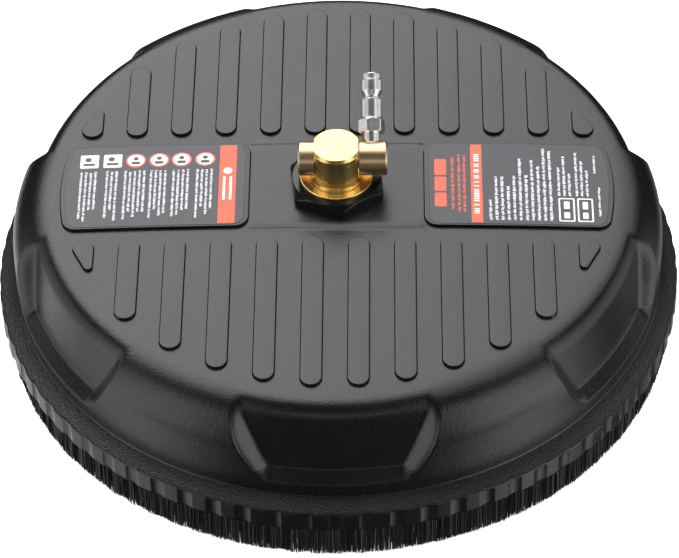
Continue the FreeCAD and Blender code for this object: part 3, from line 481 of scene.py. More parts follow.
def pad_outline(inset=0.0, margin=0.0):
    """Outline of the right-hand label pad, bowed on its outer side."""
    inner, outer, half = PAD_INNER + inset, PAD_OUTER - inset, PAD_HALF - margin
    corner = PAD_CORNER - margin
    reach = math.sqrt((outer - corner) ** 2 - (half - corner) ** 2)
    slope = math.atan2(half - corner, reach)
    points = []

    def corner_arc(x, y, first, last):
        for step in range(9):
            a = first + (last - first) * step / 8
            points.append((x + corner * math.cos(a), y + corner * math.sin(a), math.cos(a), math.sin(a)))

    corner_arc(reach, -(half - corner), -math.pi / 2, -slope)
    for step in range(1, 18):
        a = -slope + 2 * slope * step / 18
        points.append((outer * math.cos(a), outer * math.sin(a), math.cos(a), math.sin(a)))
    corner_arc(reach, half - corner, slope, math.pi / 2)
    corner_arc(inner + corner, half - corner, math.pi / 2, math.pi)
    corner_arc(inner + corner, -(half - corner), math.pi, 1.5 * math.pi)
    return divided(points)


def mirrored(outline, across_x=False, across_y=False):
    """An outline reflected, still anticlockwise."""
    fx, fy = (-1 if across_x else 1), (-1 if across_y else 1)
    made = [(x * fx, y * fy, nx * fx, ny * fy) for x, y, nx, ny in outline]
    return made if across_x == across_y else made[::-1]


BAR_PITCH, BAR_START, BAR_REACH, BAR_HALF = 26.25, 43.8, 159.3, 6.05
# The outermost bars are short: where they end, the radius there, and how far the end leans in.
SHORT_END, SHORT_HALF, SHORT_LEAN = 67.5, 2.6, 3.45


def relief_outlines():
    """Outlines of the 24 raised bars and the two label pads."""
    outlines = []
    for index in range(6):
        x = (index + 0.5) * BAR_PITCH
        if index < 5:
            high = math.sqrt(BAR_REACH**2 - x * x)
            quarter = bar_outline(x, BAR_START, high, BAR_HALF, BAR_HALF, x)
        else:
            quarter = bar_outline(x, BAR_START, SHORT_END, BAR_HALF, SHORT_HALF, x - SHORT_LEAN)
        for flip_x in (False, True):
            for flip_y in (False, True):
                outlines.append(mirrored(quarter, flip_x, flip_y))
    pad = pad_outline()
    return outlines + [pad, mirrored(pad, across_x=True)]


# Distance out from a raised outline, and the share of the relief reached there.
RELIEF_STEPS = [
    (0.98, 0.0), (0.94, -0.1), (0.4, -1.0), (0.36, -1.0),
    (-0.1, 0.8), (-0.18, 0.94), (-0.3, 0.99), (-0.6, 1.0)]
BAND_HALF, BAND_END, BAND_HIGH = 35.5, 51.0, 0.25


def band(x, y):
    """The barely raised band between the two pads."""
    if abs(x) > BAND_END:
        return 0.0
    return BAND_HIGH * min(1.0, max(0.0, (BAND_HALF + 0.3 - abs(y)) / 0.6))


def inside(outline, x, y):
    """Whether a point is inside a closed outline."""
    hit = False
    for (ax, ay, *_), (bx, by, *_) in zip(outline, outline[1:] + outline[:1]):
        if (ay > y) != (by > y) and x < (bx - ax) * (y - ay) / (by - ay) + ax:
            hit = not hit
    return hit


def make_hood():
    """The moulded bell with its side, inside, boss and relief deck, as one closed mesh."""
    made = Builder()
    near = (-1.45, -1.3, -1.15, -0.95, -0.75, -0.5, -0.25, 0, 0.25, 0.5, 0.75, 0.95, 1.15, 1.3, 1.45)
    half = {round(5 * k + step, 3) for k in range(7) for step in near + (-2.5, -2.2, -1.8, 1.8, 2.2)}
    half |= {round(BASE_IN + 0.1 * i, 3) for i in range(-6, 22)}
    kept = []
    for u in sorted(u for u in half if 0 <= u <= 30):
        if not kept or u - kept[-1] > 0.07:
            kept.append(u)
    columns = all_round(kept)
    heights = {z for _, z in arc(*LOBE_ROUND, 3, 90, 4)}
    heights |= {z for _, z in arc(*POCKET_ROUND, 4, 80, 7)}
    heights |= {z for _, z in rounded(POCKET_CORNERS)[1:]}
    heights |= {64.5, 61.5, 59.0, 46.5, 44.5, 38.3, 37.7, 37.1, 36.6, 36.1, 35.0, 33.0, 31.0, 28.0, 25.5}
    levels = []
    for z in sorted(heights, reverse=True):
        if not levels or levels[-1] - z > 0.12:
            levels.append(z)
    top = made.add(side_row(columns, DECK_RING, lobe_side, pocket_side))
    rows = [top]
    for z in levels:
        if z < DECK_RING - 0.1:
            rows.append(made.add(side_row(columns, z, lobe_side, pocket_side)))
    low_ring = side_row(columns, RIM_FOOT, lobe_side, pocket_side)
    rows.append(made.add([(x * (RIM - 0.5) / RIM, y * (RIM - 0.5) / RIM, RIM_LOW) for x, y, _ in low_ring]))
    made.loft(rows[::-1])
    # Inside, with fewer columns.
    few = [0, 2.5, 5, 7.5, 9.5, 11, 11.6, 12.25, 13, 15, 17.5, 20, 22.5, 25, 27.5, 30]
    inner_columns = all_round(few)
    inner_end = [(186.4, 43.0), (186.4, LEDGE_TOP)]
    lobe_middle, lobe_radius = LOBE_ROUND
    pocket_middle, pocket_radius = POCKET_ROUND
    inner_lobe = arc(lobe_middle, lobe_radius - WALL, 0, 90, 9) + inner_end
    inner_pocket = [(DECK_EDGE, POCKET_TOP - WALL)] + arc(pocket_middle, pocket_radius - WALL, 1.5, 80, 16)
    inner_pocket += [(178.6, 53.8), (186.2, 47.8)] + inner_end

    def plain_ring(radius, z, count=None):
        """A round ring with the inner columns' turns, or with a count of even ones."""
        if count:
            turns = [2 * math.pi * i / count for i in range(count)]
        else:
            turns = [math.radians(middle + sign * u) for middle, u, sign in inner_columns]
        return made.add([(radius * math.cos(t), radius * math.sin(t), z) for t in turns])

    foot = plain_ring(SKIRT_BORE, RIM_LOW)
    inner_rows = [foot]
    for radius, z in ((SKIRT_BORE, LEDGE), (LEDGE_BORE, LEDGE), (LEDGE_BORE, LEDGE_TOP)):
        inner_rows.append(plain_ring(radius, z))
    for z in (LEDGE_TOP, 43.0, 47.8, 50.8, 53.8, 58.0, 62.0, 68.0, 74.0, 80.0, 84.5, 87.5, 90.0, 91.6, 92.4):
        inner_rows.append(made.add(side_row(inner_columns, z, inner_lobe, inner_pocket, grooves=False)))
    made.loft(inner_rows)
    made.bridge(rows[-1], foot, up=False)
    under = plain_ring(DECK_EDGE, POCKET_TOP - WALL)
    made.strip(inner_rows[-1], under)
    boss = plain_ring(BOSS_RADIUS, BOSS_TOP, 96)
    made.bridge(under, boss, up=False)
    boss_rows = [boss, plain_ring(BOSS_RADIUS, BOSS_LOW, 96), plain_ring(HUB_HOLE, BOSS_LOW, 96)]
    hole = plain_ring(HUB_HOLE, dome(HUB_HOLE, 0), 96)
    made.loft(boss_rows + [hole])

    # Deck: raised outlines, a loose net of points between them, and the rim of the side.
    plan = [made.points[i][:2] for i in top]
    loops = [list(range(len(plan)))]
    heights_known = {}
    start = len(plan)
    plan += [made.points[i][:2] for i in hole]
    loops.append(list(range(start, len(plan))))
    outlines = relief_outlines()
    for outline in outlines:
        for out, share in RELIEF_STEPS:
            start = len(plan)
            plan += [(x + nx * out, y + ny * out) for x, y, nx, ny in outline]
            loop = list(range(start, len(plan)))
            loops.append(loop)
            for index in loop:
                heights_known[index] = share * RELIEF
    lines = []
    for side in (-1, 1):
        for out in (0.3, 0.12, -0.12, -0.3):
            start = len(plan)
            plan += [(x, side * (BAND_HALF + out)) for x in np.linspace(-49.4, 49.4, 34)]
            lines += [(i, i + 1) for i in range(start, len(plan) - 1)]
    taken = KDTree(len(plan))
    for index, (x, y) in enumerate(plan):
        taken.insert((x, y, 0), index)
    taken.balance()
    # The net is triangular, with 5 mm sides, and stays clear of everything placed so far.
    step, clearance, row_share = 5.0, 2.4, 0.866
    for i in range(-34, 35):
        for j in range(-39, 40):
            x, y = (i + 0.5 * (j % 2)) * step, j * step * row_share
            r = math.hypot(x, y)
            if HUB_HOLE + 3 < r < DECK_EDGE - 3 and taken.find((x, y, 0))[2] > clearance:
                plan.append((x, y))
    edges_in = [(loop[i - 1], loop[i]) for loop in loops for i in range(len(loop))] + lines
    verts, _, faces, origin, *_ = delaunay_2d_cdt([Vector(p) for p in plan], edges_in, [], 1, 1e-5)
    boxes = []
    for outline in outlines:
        across, along = [p[0] for p in outline], [p[1] for p in outline]
        boxes.append((min(across), max(across), min(along), max(along)))
    standing = top + hole
    deck = []
    for v, from_plan in zip(verts, origin):
        shared = [index for index in from_plan if index < len(standing)]
        if shared:
            deck.append(standing[shared[0]])
            continue
        rise = 0.0
        known = [heights_known[index] for index in from_plan if index in heights_known]
        if known:
            rise = known[-1]
        else:
            for outline, (x0, x1, y0, y1) in zip(outlines, boxes):
                if x0 < v.x < x1 and y0 < v.y < y1 and inside(outline, v.x, v.y):
                    rise = RELIEF
                    break
        rise = max(rise, band(v.x, v.y))
        deck += made.add([(v.x, v.y, dome(v.x, v.y) + rise)])
    for face in faces:
        x = sum(verts[i].x for i in face) / len(face)
        y = sum(verts[i].y for i in face) / len(face)
        if math.hypot(x, y) > HUB_HOLE * 0.999:
            made.faces.append(tuple(deck[i] for i in face))
    hood = add_object("hood_shell", made, hood_plastic, 50, replaces=["housing_shell"])
    # The steep walls of the deck's grooves and raised parts get a rougher, nearly unreflective copy of the
    # hood plastic, which paints shade into the grooves.
    hood.data.materials.append(groove_shade_plastic)
    for face in hood.data.polygons:
        if math.hypot(face.center.x, face.center.y) < DECK_EDGE * 0.001 and 0.05 < face.normal.z < 0.75:
            face.material_index = 1


make_hood()

# ---- labels


def plate(made, outline, layer):
    """A thin closed plate over a small outline. A layer is its two levels above the deck's dome."""
    low, high = layer
    bottom = made.add([(x, y, dome(x, y) + low) for x, y, *_ in outline])
    top = made.add([(x, y, dome(x, y) + high) for x, y, *_ in outline])
    made.strip(bottom, top)
    made.cap(top)
    made.cap(bottom, flip=True)


def long_plate(made, x0, x1, y0, y1, layer, step=5.0):
    """A printed bar along Y in one closed piece that bends with the dome."""
    low, high = layer
    count = max(1, round((y1 - y0) / step))
    rows = []
    for y in np.linspace(y0, y1, count + 1):
        corners = [(x0, low), (x1, low), (x1, high), (x0, high)]
        rows.append(made.add([(x, y, dome(x, y) + z) for x, z in corners]))
    made.loft(rows)
    made.cap(rows[0])
    made.cap(rows[-1], flip=True)


def filled_plate(outline, low, high, edge, step=5.0):
    """A plate with a net of points over its top, so that it bends with the dome."""
    made = Builder()
    bottom = made.add([(x, y, dome(x, y) + low) for x, y, *_ in outline])
    shoulder = made.add([(x, y, dome(x, y) + high - edge) for x, y, *_ in outline])
    rim = made.add([(x - nx * edge, y - ny * edge, dome(x, y) + high) for x, y, nx, ny in outline])
    made.loft([bottom, shoulder, rim])
    made.cap(bottom, flip=True)
    plan = [made.points[i][:2] for i in rim]
    loop = list(range(len(plan)))
    x0, x1 = min(p[0] for p in plan), max(p[0] for p in plan)
    y0, y1 = min(p[1] for p in plan), max(p[1] for p in plan)
    for i in range(1, int((x1 - x0) / step)):
        for j in range(1, int((y1 - y0) / step)):
            x, y = x0 + i * step, y0 + j * step
            if all(inside(outline, x + dx, y + dy) for dx in (-2.5, 2.5) for dy in (-2.5, 2.5)):
                plan.append((x, y))
    edges = [(loop[i - 1], loop[i]) for i in range(len(loop))]
    verts, _, faces, origin, *_ = delaunay_2d_cdt([Vector(p) for p in plan], edges, [], 0, 1e-6)
    index = []
    for v, from_plan in zip(verts, origin):
        if from_plan and from_plan[0] < len(rim):
            index.append(rim[from_plan[0]])
        else:
            index += made.add([(v.x, v.y, dome(v.x, v.y) + high)])
    for face in faces:
        x = sum(verts[i].x for i in face) / len(face)
        y = sum(verts[i].y for i in face) / len(face)
        if inside([tuple(p) for p in plan[:len(rim)]], x, y):
            made.faces.append(tuple(index[i] for i in face))
    return made


LABEL_LOW, LABEL_HIGH = RELIEF - 0.02, RELIEF + 0.2
# Lowest and highest level of the print on the film, and of what is printed over that.
PRINT = (LABEL_HIGH - 0.02, LABEL_HIGH + 0.05)
OVER = (PRINT[1] - 0.01, PRINT[1] + 0.03)
# How far the film stands in from its pad at the ends and along the sides, and half its depth.
FILM_INSET, FILM_MARGIN, FILM_HALF = 3.0, 1.3, 32.9


def box_outline(x0, x1, y0, y1, corner=0.3):
    """A rectangle with rounded corners, anticlockwise."""
    corner = min(corner, (x1 - x0) * 0.49, (y1 - y0) * 0.49)
    points = []
    for cx, cy, first in ((x1 - corner, y0 + corner, -90), (x1 - corner, y1 - corner, 0),
                          (x0 + corner, y1 - corner, 90), (x0 + corner, y0 + corner, 180)):
        for step in range(4):
            a = math.radians(first + 30 * step)
            points.append((cx + corner * math.cos(a), cy + corner * math.sin(a), math.cos(a), math.sin(a)))
    return points


def disc_outline(x, y, radius, count=36):
    """A circle as an outline."""
    turns = [2 * math.pi * i / count for i in range(count)]
    return [(x + radius * math.cos(t), y + radius * math.sin(t), math.cos(t), math.sin(t)) for t in turns]


def frame_plate(made, outer, inner):
    """A thin printed outline between two matching loops."""
    low, high = PRINT
    rows = []
    for outline, level in ((outer, low), (outer, high), (inner, high), (inner, low)):
        rows.append(made.add([(x, y, dome(x, y) + level) for x, y, *_ in outline]))
    made.loft(rows + rows[:1])


def ticks(made, x, y0, y1, width, rng, pitch=0.78):
    """A printed line along Y made of short plain ticks in groups, with no letters."""
    y = y0
    while y < y1:
        for _ in range(rng.randint(3, 9)):
            if y > y1:
                break
            low = x - width / 2 + width * rng.choice((0, 0, 0.22))
            high = x + width / 2 - width * rng.choice((0, 0.22, 0.22))
            long_plate(made, low, high, y, y + pitch * rng.uniform(0.5, 0.72), PRINT)
            y += pitch
        y += pitch * 0.8


def make_left_label():
    outline = mirrored(pad_outline(FILM_INSET, FILM_MARGIN), across_x=True)
    label = filled_plate(outline, LABEL_LOW, LABEL_HIGH, 0.1)
    add_object("label_left_film", label, label_film, 40, replaces=["label_left"])
    rng = random.Random(3)
    white, coral, dark = Builder(), Builder(), Builder()
    # A row of six plain marks, and a block of short lines under each.
    centres = [-144.5, -130.9, -117.4, -103.8, -90.7, -76.9]
    for x in centres[:2]:
        plate(white, box_outline(x - 5.4, x + 5.4, 16.0, 27.2, 0.8), PRINT)
        plate(dark, disc_outline(x - 0.8, 23.2, 1.9, 20), OVER)
        plate(dark, box_outline(x - 3.6, x + 3.4, 18.0, 20.0, 0.8), OVER)
    for x in centres[2:]:
        frame_plate(coral, disc_outline(x, 21.5, 5.9), disc_outline(x, 21.5, 4.9))
        plate(white, disc_outline(x, 21.5, 4.9), PRINT)
        plate(dark, disc_outline(x, 23.0, 1.5, 20), OVER)
        plate(dark, box_outline(x - 2.6, x + 2.6, 18.2, 20.6, 1.0), OVER)
    for centre, lines in zip(centres, (4, 3, 5, 4, 4, 4)):
        for line in range(lines):
            x = centre + (line - (lines - 1) / 2) * 2.75
            ticks(white, x, rng.uniform(-29, -17), 12.5, 1.6, rng)
    long_plate(coral, -68.3, -58.5, -FILM_HALF, FILM_HALF, PRINT)
    plate(white, disc_outline(-63.4, 11.0, 2.6, 24), OVER)
    for x0, x1 in ((-66.0, -64.6), (-62.2, -60.8)):
        long_plate(white, x0, x1, -13.5, 6.0, OVER)
    add_object("label_left_white_marks", white, white_print)
    add_object("label_left_coral_marks", coral, coral_print)
    add_object("label_left_dark_marks", dark, label_film)


def make_right_label():
    outline = pad_outline(FILM_INSET, FILM_MARGIN)
    label = filled_plate(outline, LABEL_LOW, LABEL_HIGH, 0.1)
    add_object("label_right_film", label, label_film, 40, replaces=["label_right"])
    rng = random.Random(11)
    white, coral = Builder(), Builder()
    for y0, y1 in ((-20, -8.5), (-7.0, 5.0), (6.5, 20)):
        plate(coral, box_outline(56.6, 63.4, y0, y1, 0.8), PRINT)
    for x, reach in ((67.0, 22), (70.8, 24), (73.9, 24)):
        ticks(coral, x, -reach, reach, 1.9, rng, 0.95)
    long_plate(coral, 77.6, 84.1, -FILM_HALF, FILM_HALF, PRINT)
    y = -25.5
    while y < 25:
        length = rng.uniform(0.7, 1.1)
        long_plate(white, 79.3, 82.4, y, y + length, OVER)
        y += length + rng.choice((0.8, 0.8, 0.8, 0.8, 2.4))
    tops = (-14, 5.7, 5.7, -2.3, 6.3, 21, 7, 20, 15, 30, 28.5)
    for index, high in enumerate(tops):
        ticks(white, 88.7 + index * 3.49, -30.5, high, 1.9, rng, 0.85)
    for x, high in ((128.5, 14), (131.6, 24), (134.6, 9), (138.8, 27), (141.8, 20), (144.9, 12)):
        ticks(white, x, -9.7, high, 1.7, rng, 0.85)
    for x0, x1 in ((127.8, 137.1), (138.6, 147.7)):
        inner = box_outline(x0 + 0.9, x1 - 0.9, -30.1, -12.5, 0.5)
        frame_plate(white, box_outline(x0, x1, -31.0, -11.6, 0.8), inner)
        for y0, y1 in ((-28.4, -23.4), (-20.6, -14.4)):
            plate(white, box_outline(x0 + 3.0, x1 - 3.0, y0, y1, 0.5), PRINT)
    ticks(white, 149.6, 10, 25, 1.4, rng)
    ticks(white, 151.6, -26, -2, 1.4, rng)
    add_object("label_right_white_marks", white, white_print)
    add_object("label_right_coral_marks", coral, coral_print)


make_left_label()
make_right_label()

# ---- bristles


def make_bristles():
    """Nylon filaments in seven close rings, each tapered, leaning a little, and of its own length."""
    made = Builder()
    rng = random.Random(5)
    waves = [(rng.uniform(8, 110), rng.uniform(0, 6.3)) for _ in range(16)]

    def clump(angle, shift):
        return sum(math.sin(count * angle + phase + shift) for count, phase in waves) / 4

    # Radius of each ring and the pitch of its filaments.
    rings = [
        (186.8, 1.1), (188.6, 1.1), (190.4, 1.0), (192.0, 0.75), (193.3, 0.6), (194.4, 0.46), (195.1, 0.4)]
    root = 30.0
    third = 2.094
    for radius, pitch in rings:
        count = int(2 * math.pi * radius / pitch)
        for index in range(count):
            angle = 2 * math.pi * (index + rng.uniform(-0.4, 0.4)) / count
            r = radius + rng.uniform(-0.3, 0.3)
            across = 0.45 * clump(angle, 0) + rng.gauss(0, 0.25)
            outward = max(-1.2, min(1.2, 0.3 * clump(angle, 2) + rng.gauss(0.1, 0.2)))
            low = max(0.05, 0.5 + 0.25 * clump(angle, 4) + rng.gauss(0, 0.12))
            thick = rng.uniform(0.26, 0.36)
            bend = rng.uniform(1.3, 2.0)
            spin = rng.uniform(0, 2.1)
            rows = []
            for share in (0.0, 0.5, 1.0):
                z = root + (low - root) * share
                lean = share**bend
                rr = r + outward * lean
                turn = angle + across * lean / radius
                size = thick * (1 - 0.15 * share)
                x, y = rr * math.cos(turn), rr * math.sin(turn)
                corners = [spin + third * k for k in range(3)]
                rows.append(made.add([(x + size * math.cos(c), y + size * math.sin(c), z) for c in corners]))
            made.loft(rows[::-1])
            made.cap(rows[0])
            made.cap(rows[-1], flip=True)
    add_object("bristle_skirt", made, bristle_nylon, 80, replaces=["brush_bristles"])


make_bristles()

# ---- hexagons


def hex_limit(corner, first, round_by=0.6, bevels=()):
    """Trims a lathe to a hexagon with slightly rounded corners. Each bevel is (height, radius at that
    height, growth of the radius per millimetre below or above it)."""
    apothem = corner * math.cos(math.pi / 6)

    def limit(angle, z, radius):
        away = (angle - math.radians(first)) % (math.pi / 3) - math.pi / 6
        flat = apothem / math.cos(away)
        soft = corner - round_by
        r = min(flat, soft + round_by * 0.35) if flat > soft else flat
        for level, at_level, growth in bevels:
            r = min(r, at_level + abs(z - level) * growth)
        return min(r, radius)
    return limit


def hex_angles(first, per_side=22):
    """Angles for a hexagon's columns, with one on each corner."""
    turns = []
    for side in range(6):
        for step in range(per_side):
            share = step / per_side
            eased = 0.5 - 0.5 * math.cos(math.pi * share)
            turns.append(math.radians(first + 60 * (side + eased)))
    return turns


# ---- bearing housing


HOUSING_BORE, BARREL_RADIUS, BEARING_BORE = 9.6, 17.8, 14.0
BARREL_FOOT, BARREL_THREAD_END = 60.0, 90


def make_bearing_housing():
    """The hexagon head with its turned chamfer, and the threaded barrel below the deck."""
    top, low, first = 107.7, CROWN - 0.1, 36.0
    levels = [103.6, 104.1, 104.4, 104.7, 105.0, 105.3, 105.6, 106.0, 106.4, 106.8, 107.1, 107.4, 107.55]
    profile = [(HOUSING_BORE, low), (40, low)] + [(40, z) for z in levels]
    profile += [(25.5, top), (HOUSING_BORE, top)]
    limit = hex_limit(29.8, first, 0.7, [(107.66, 25.6, 1.24)])
    angles = hex_angles(first)
    head = lathe(profile, angles=angles, limit=lambda a, z, r: r if r < 20 else limit(a, z, r))
    close_tube(head, len(angles))
    thread = [(17.0, BARREL_FOOT)]
    z = 60.6
    while z < BARREL_THREAD_END:
        thread += [(BARREL_RADIUS, z), (BARREL_RADIUS, z + 0.5), (17.1, z + 0.85), (17.1, z + 1.15)]
        z += 1.5
    barrel = lathe(thread + [
        (BARREL_RADIUS, 91.5), (BARREL_RADIUS, low), (HOUSING_BORE, low), (HOUSING_BORE, BOSS_LOW),
        (BEARING_BORE, BOSS_LOW), (BEARING_BORE, BARREL_FOOT)], 96)
    close_tube(barrel, 96)
    whole = joined(head, barrel)
    add_object("bearing_housing_body", whole, black_nylon, 22, replaces=["bearing_housing"])


make_bearing_housing()

# ---- brass swivel


def make_manifold():
    """The brass body with its dished flange, a flat on each side and a chamfered top."""
    flat, body_r, chamfer, body_top = 12.6, 15.0, 1.5, 131.5
    edge, top_edge = math.acos(flat / body_r), math.acos(flat / (body_r - chamfer))
    across = (edge, math.pi - edge, 44)
    spans = ((-edge, -top_edge, 5), (-top_edge, top_edge, 10), (top_edge, edge, 5), across)
    angles = []
    for start in (0, math.pi):
        for first, last, count in spans:
            angles += [start + first + (last - first) * i / count for i in range(count)]
    profile = rounded([
        (9.5, 101.0), (9.5, 107.7), (21.2, 107.7), (21.2, 109.0, 0.45), (20.1, 108.9, 0.3),
        (17.1, 108.5, 0.2), (16.6, 108.3, 0.2), (body_r, 108.4, 0.3), (body_r, 109.15), (body_r, 109.25),
        (body_r, body_top - chamfer, 0.25), (body_r - chamfer, body_top, 0.25), (0, body_top)])

    def limit(angle, z, radius):
        if z < 109.2 or radius > body_r + 0.05:
            return radius
        return min(radius, flat / max(abs(math.cos(angle)), 0.05))

    made = lathe(held(profile), angles=angles, limit=limit)
    made.cap(list(range(len(angles))), flip=True)
    add_object("swivel_manifold", made, polished_brass, 18, replaces=["manifold_body"])


def along_x(made, x, z):
    """Lays a turned part down so that its own Z points along +X."""
    turn = Matrix.Translation((x, 0, z)) @ Matrix.Rotation(math.radians(90), 4, "Y")
    return moved(made, turn)


PIVOT, INLET_X, INLET_LEAN = 121.3, 20.3, -54.5
PIN_BORE, CAP_RADIUS = 6.05, 10.0


def make_cap():
    """The left end cap of the cross pin, a closed cup."""
    profile = held(rounded([
        (0, -22.0), (9.1, -22.0, 0.3), (CAP_RADIUS, -21.1, 0.3), (CAP_RADIUS, -12.6), (PIN_BORE, -12.6),
        (PIN_BORE, -20.5), (0, -20.5)]))
    made = along_x(lathe(profile, 96), 0, PIVOT)
    add_object("pin_cap", made, satin_brass, 25, replaces=["pin_end_cap"])


def make_collar():
    """The right collar, which turns on the cross pin."""
    made = lathe(held(rounded([
        (PIN_BORE, 12.95), (9.5, 12.95, 0.2), (CAP_RADIUS, 13.45, 0.2), (CAP_RADIUS, 28.4, 0.3),
        (9.1, 29.4, 0.3), (8.3, 29.4, 0.1), (8.05, 29.1), (PIN_BORE, 29.1)])), 96)
    close_tube(made, 96)
    along_x(made, 0, PIVOT)
    add_object("inlet_collar", made, satin_brass, 25, "inlet", ["swivel_collar"])


def make_inlet():
    """The quick-connect plug along its own axis, with its hexagon, leaning back at rest."""
    turning = lathe(held(rounded([
        (4.85, 7.4), (4.85, 22.4), (5.5, 22.4), (5.5, 22.9, 0.2), (6.1, 23.4, 0.2), (6.1, 34.0, 0.3),
        (5.5, 34.6, 0.2), (4.4, 34.6, 0.25), (4.4, 36.0, 0.5), (6.1, 39.1, 0.4), (6.1, 45.3, 0.2),
        (4.9, 45.7, 0.1), (4.9, 46.2, 0.1), (5.3, 46.4, 0.1), (5.3, 49.0, 0.2), (4.8, 49.5, 0.15),
        (3.3, 49.5, 0.15), (2.6, 48.8), (2.6, 7.4)])), 72)
    close_tube(turning, 72)
    # A hexagon with turned bevels at both ends.
    low, high, bore, first = 14.6, 22.4, 4.8, 12.0
    levels = [low, 14.75, 14.95, 15.2, 15.5, 15.9, 16.6, 20.4, 21.1, 21.5, 21.8, 22.05, 22.25, high]
    hex_profile = [(bore, low)] + [(20, z) for z in levels] + [(bore, high)]
    limit = hex_limit(8.0, first, 0.2, [(low, 6.7, 1.5), (high, 6.7, 1.5)])
    angles = hex_angles(first, 14)
    nut = lathe(hex_profile, angles=angles, limit=lambda a, z, r: r if r < 5 else limit(a, z, r))
    close_tube(nut, len(angles))
    whole = joined(turning, nut)
    turn = Matrix.Rotation(math.radians(INLET_LEAN), 4, "X")
    moved(whole, Matrix.Translation((INLET_X, 0, PIVOT)) @ turn)
    add_object("inlet_nipple", whole, stainless, 25, "inlet", ["quick_connect_nipple"])


make_manifold()
make_cap()
make_collar()
make_inlet()

# ---- carried-over parts

CARRIED = [
    (backing_plastic, "brush_backing"),
    (black_nylon, "clamp_ring_nut"),
    (seal_rubber, "manifold_seal_ring rotary_seal pin_seal_rings"),
    (screw_steel, "brush_screws housing_clip shaft_clip pin_retaining_ring"),
    (washer_steel, "deck_washer outer_race_spacer inner_race_spacer"),
    (bearing_steel, "lower_bearing_outer_race lower_bearing_inner_race lower_bearing_balls"),
    (bearing_steel, "upper_bearing_outer_race upper_bearing_inner_race upper_bearing_balls"),
    (satin_brass, "pivot_pin collar_plug rotor_hub arm_lock_nut_left arm_lock_nut_right"),
    (satin_brass, "nozzle_elbow_left nozzle_elbow_right"),
    (stainless, "rotor_shaft spray_arm_left spray_arm_right spray_nozzle_left spray_nozzle_right"),
]
for material, names in CARRIED:
    for name in names.split():
        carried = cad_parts[name].data.materials
        carried.clear()
        carried.append(material)

# ---- camera


def add_camera():
    azimuth, elevation, roll = math.radians(1.171), math.radians(44.479), math.radians(-1.056)
    distance, target = 2.2044, Vector((0.000553, 0, 0.0238))
    level = math.cos(elevation)
    back = Vector((math.sin(azimuth) * level, -math.cos(azimuth) * level, math.sin(elevation)))
    right = Vector((math.cos(azimuth), math.sin(azimuth), 0))
    up = right.cross(-back)
    across = math.cos(roll) * right + math.sin(roll) * up
    upright = -math.sin(roll) * right + math.cos(roll) * up
    data = bpy.data.cameras.new("camera")
    data.lens = 196.9
    data.sensor_width = 36
    data.clip_end = 100
    camera = bpy.data.objects.new("camera", data)
    bpy.context.scene.collection.objects.link(camera)
    turn = Matrix((across, upright, back)).transposed().to_4x4()
    camera.matrix_world = Matrix.Translation(target + back * distance) @ turn
    bpy.context.scene.camera = camera


add_camera()

# ---- studio


def add_backdrop():
    """A pale floor that curves up into a round wall far away."""
    made = Builder()
    profile = [(0.001, 0), (0.4, 0), (1.0, 0), (2.0, 0), (4.0, 0), (6.0, 0)]
    profile += [(6.8, 0.12), (7.5, 0.55), (7.9, 1.3), (8.0, 2.4), (8.0, 6.0)]
    turns = np.radians(np.arange(0, 360, 5))
    rows = []
    for radius, z in profile:
        rows.append(made.add([(radius * math.cos(t), radius * math.sin(t), z) for t in turns]))
    made.loft(rows[::-1])
    mesh = bpy.data.meshes.new("studio_floor")
    mesh.from_pydata(made.points, [], made.faces)
    mesh.polygons.foreach_set("use_smooth", [True] * len(mesh.polygons))
    finish = Finish("studio_paper", specular=0.1)
    cloud = finish.noise(0.8, 2, 0.5)
    finish.colour(cloud, (0.87, 0.87, 0.87), (0.9, 0.9, 0.9))
    finish.roughness(cloud, 0, 1, 0.9, 0.95)
    finish.shader.inputs["Emission Color"].default_value = (1, 1, 1, 1)
    finish.shader.inputs["Emission Strength"].default_value = 0.75
    mesh.materials.append(finish.material)
    floor = bpy.data.objects.new("studio_floor", mesh)
    bpy.context.scene.collection.objects.link(floor)
    floor.location.z = -0.0005
    floor.visible_glossy = False


def add_light(name, place, size, power):
    """A soft box that faces the object."""
    data = bpy.data.lights.new(name, "AREA")
    data.shape = "RECTANGLE"
    data.size, data.size_y = size
    data.energy = power
    light = bpy.data.objects.new(name, data)
    bpy.context.scene.collection.objects.link(light)
    light.location = place
    light.rotation_mode = "QUATERNION"
    light.rotation_quaternion = (Vector(place) - Vector((0, 0, 0.05))).to_track_quat("Z", "Y")
    light.visible_camera = False
    light.visible_glossy = False


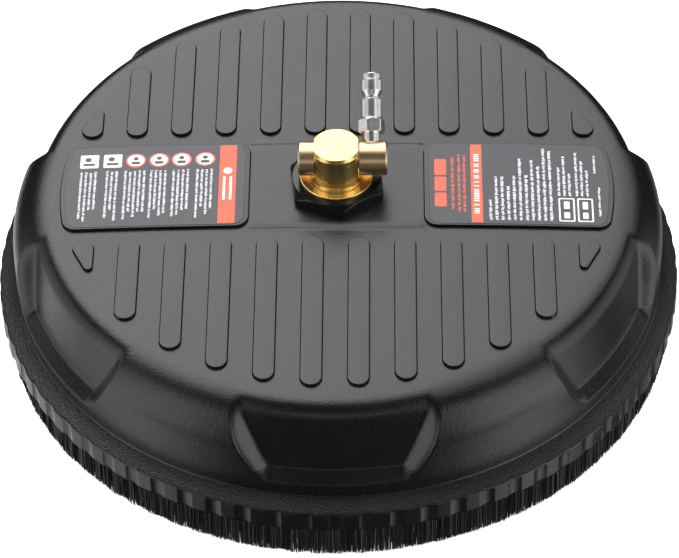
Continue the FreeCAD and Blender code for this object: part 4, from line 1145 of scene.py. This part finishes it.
def add_surroundings():
    """What the glossy surfaces see: a round soft panel above and behind, side boxes, and a dim room."""
    world = bpy.data.worlds.new("studio")
    bpy.context.scene.world = world
    world.use_nodes = True
    world.cycles.sampling_method = "NONE"
    world.cycles_visibility.diffuse = False
    net = Net(world.node_tree)
    split = net.nodes.new("ShaderNodeSeparateXYZ")
    net.links.new(net.nodes.new("ShaderNodeTexCoord").outputs["Generated"], split.inputs["Vector"])

    def product(a, b):
        return net.maths("MULTIPLY", a, b)

    def smooth(value, low, high, out_low=0, out_high=1):
        return net.ramp(value, low, high, out_low, out_high, smooth=True)

    def within(value, middle, half, soft):
        """1 near the middle, falling smoothly to 0 around the half width."""
        away = net.maths("ABSOLUTE", net.maths("SUBTRACT", value, middle))
        return smooth(away, half + soft, half - soft)

    x, y, z = split.outputs["X"], split.outputs["Y"], split.outputs["Z"]
    aim_y, aim_z, radius, soft, left, right = PANEL
    towards = net.maths("ADD", product(y, aim_y), product(z, aim_z))
    panel = smooth(towards, math.cos(math.radians(radius + soft)), math.cos(math.radians(radius - soft)))
    slope = product(smooth(x, -0.15, 0.35, left, right), smooth(towards, 0.72, 0.98, 0.8, 1))
    # The panel fades towards the front.
    slope = product(slope, smooth(y, -0.25, 0.3, 0.15, 1))
    total = net.maths("ADD", product(panel, slope), 0.01)
    degrees = 180 / math.pi
    # Azimuth is 0 straight behind the object and grows to the right.
    azimuth = product(net.maths("ARCTAN2", x, y), degrees)
    elevation = product(net.maths("ARCSINE", z), degrees)
    boxes = [(azimuth, *box) for box in SIDE_BOXES] + [(net.maths("ABSOLUTE", azimuth), *FRONT_BOX)]
    for around, middle_az, half_az, soft_az, middle_el, half_el, soft_el, level in boxes:
        wide = within(around, middle_az, half_az, soft_az)
        tall = within(elevation, middle_el, half_el, soft_el)
        total = net.maths("ADD", product(product(wide, tall), level), total)
    output = net.nodes["Background"]
    net.links.new(total, output.inputs["Strength"])
    output.inputs["Color"].default_value = (1, 1, 1, 1)


# The round panel: direction to its middle in Y and Z, radius and softness in degrees, and its
# brightness at the left and right ends.
PANEL = (0.530, 0.848, 42, 4, 3.7, 1.9)
# Side boxes: middle, half width and softness in azimuth, the same in elevation, and the brightness.
SIDE_BOXES = [
    (-121, 19, 9, 12, 32, 7, 1.7),
    (121, 19, 9, 14, 32, 7, 2.2),
    (-106, 22, 20, -38, 18, 9, 1.2),
    (112, 20, 16, -38, 18, 9, 1.3),
    (-82, 24, 8, -2, 24, 8, 0.8),
    (80, 24, 8, -2, 24, 8, 0.8),
    (-40, 34, 10, -42, 14, 8, 1.0),
    (28, 24, 12, -42, 12, 8, 0.4),
]
# A low box straight in front, which the deck shows from behind.
FRONT_BOX = (180, 26, 10, 19, 9, 7, 0.7)

add_backdrop()
add_light("key", (-0.2, 0.25, 2.9), (2.2, 2.2), 100)
add_light("fill_left", (-2.0, -1.6, 2.0), (1.6, 1.6), 7)
add_light("fill_right", (2.0, -1.6, 2.0), (1.6, 1.6), 7)
add_surroundings()
bpy.context.scene.view_settings.view_transform = "Standard"
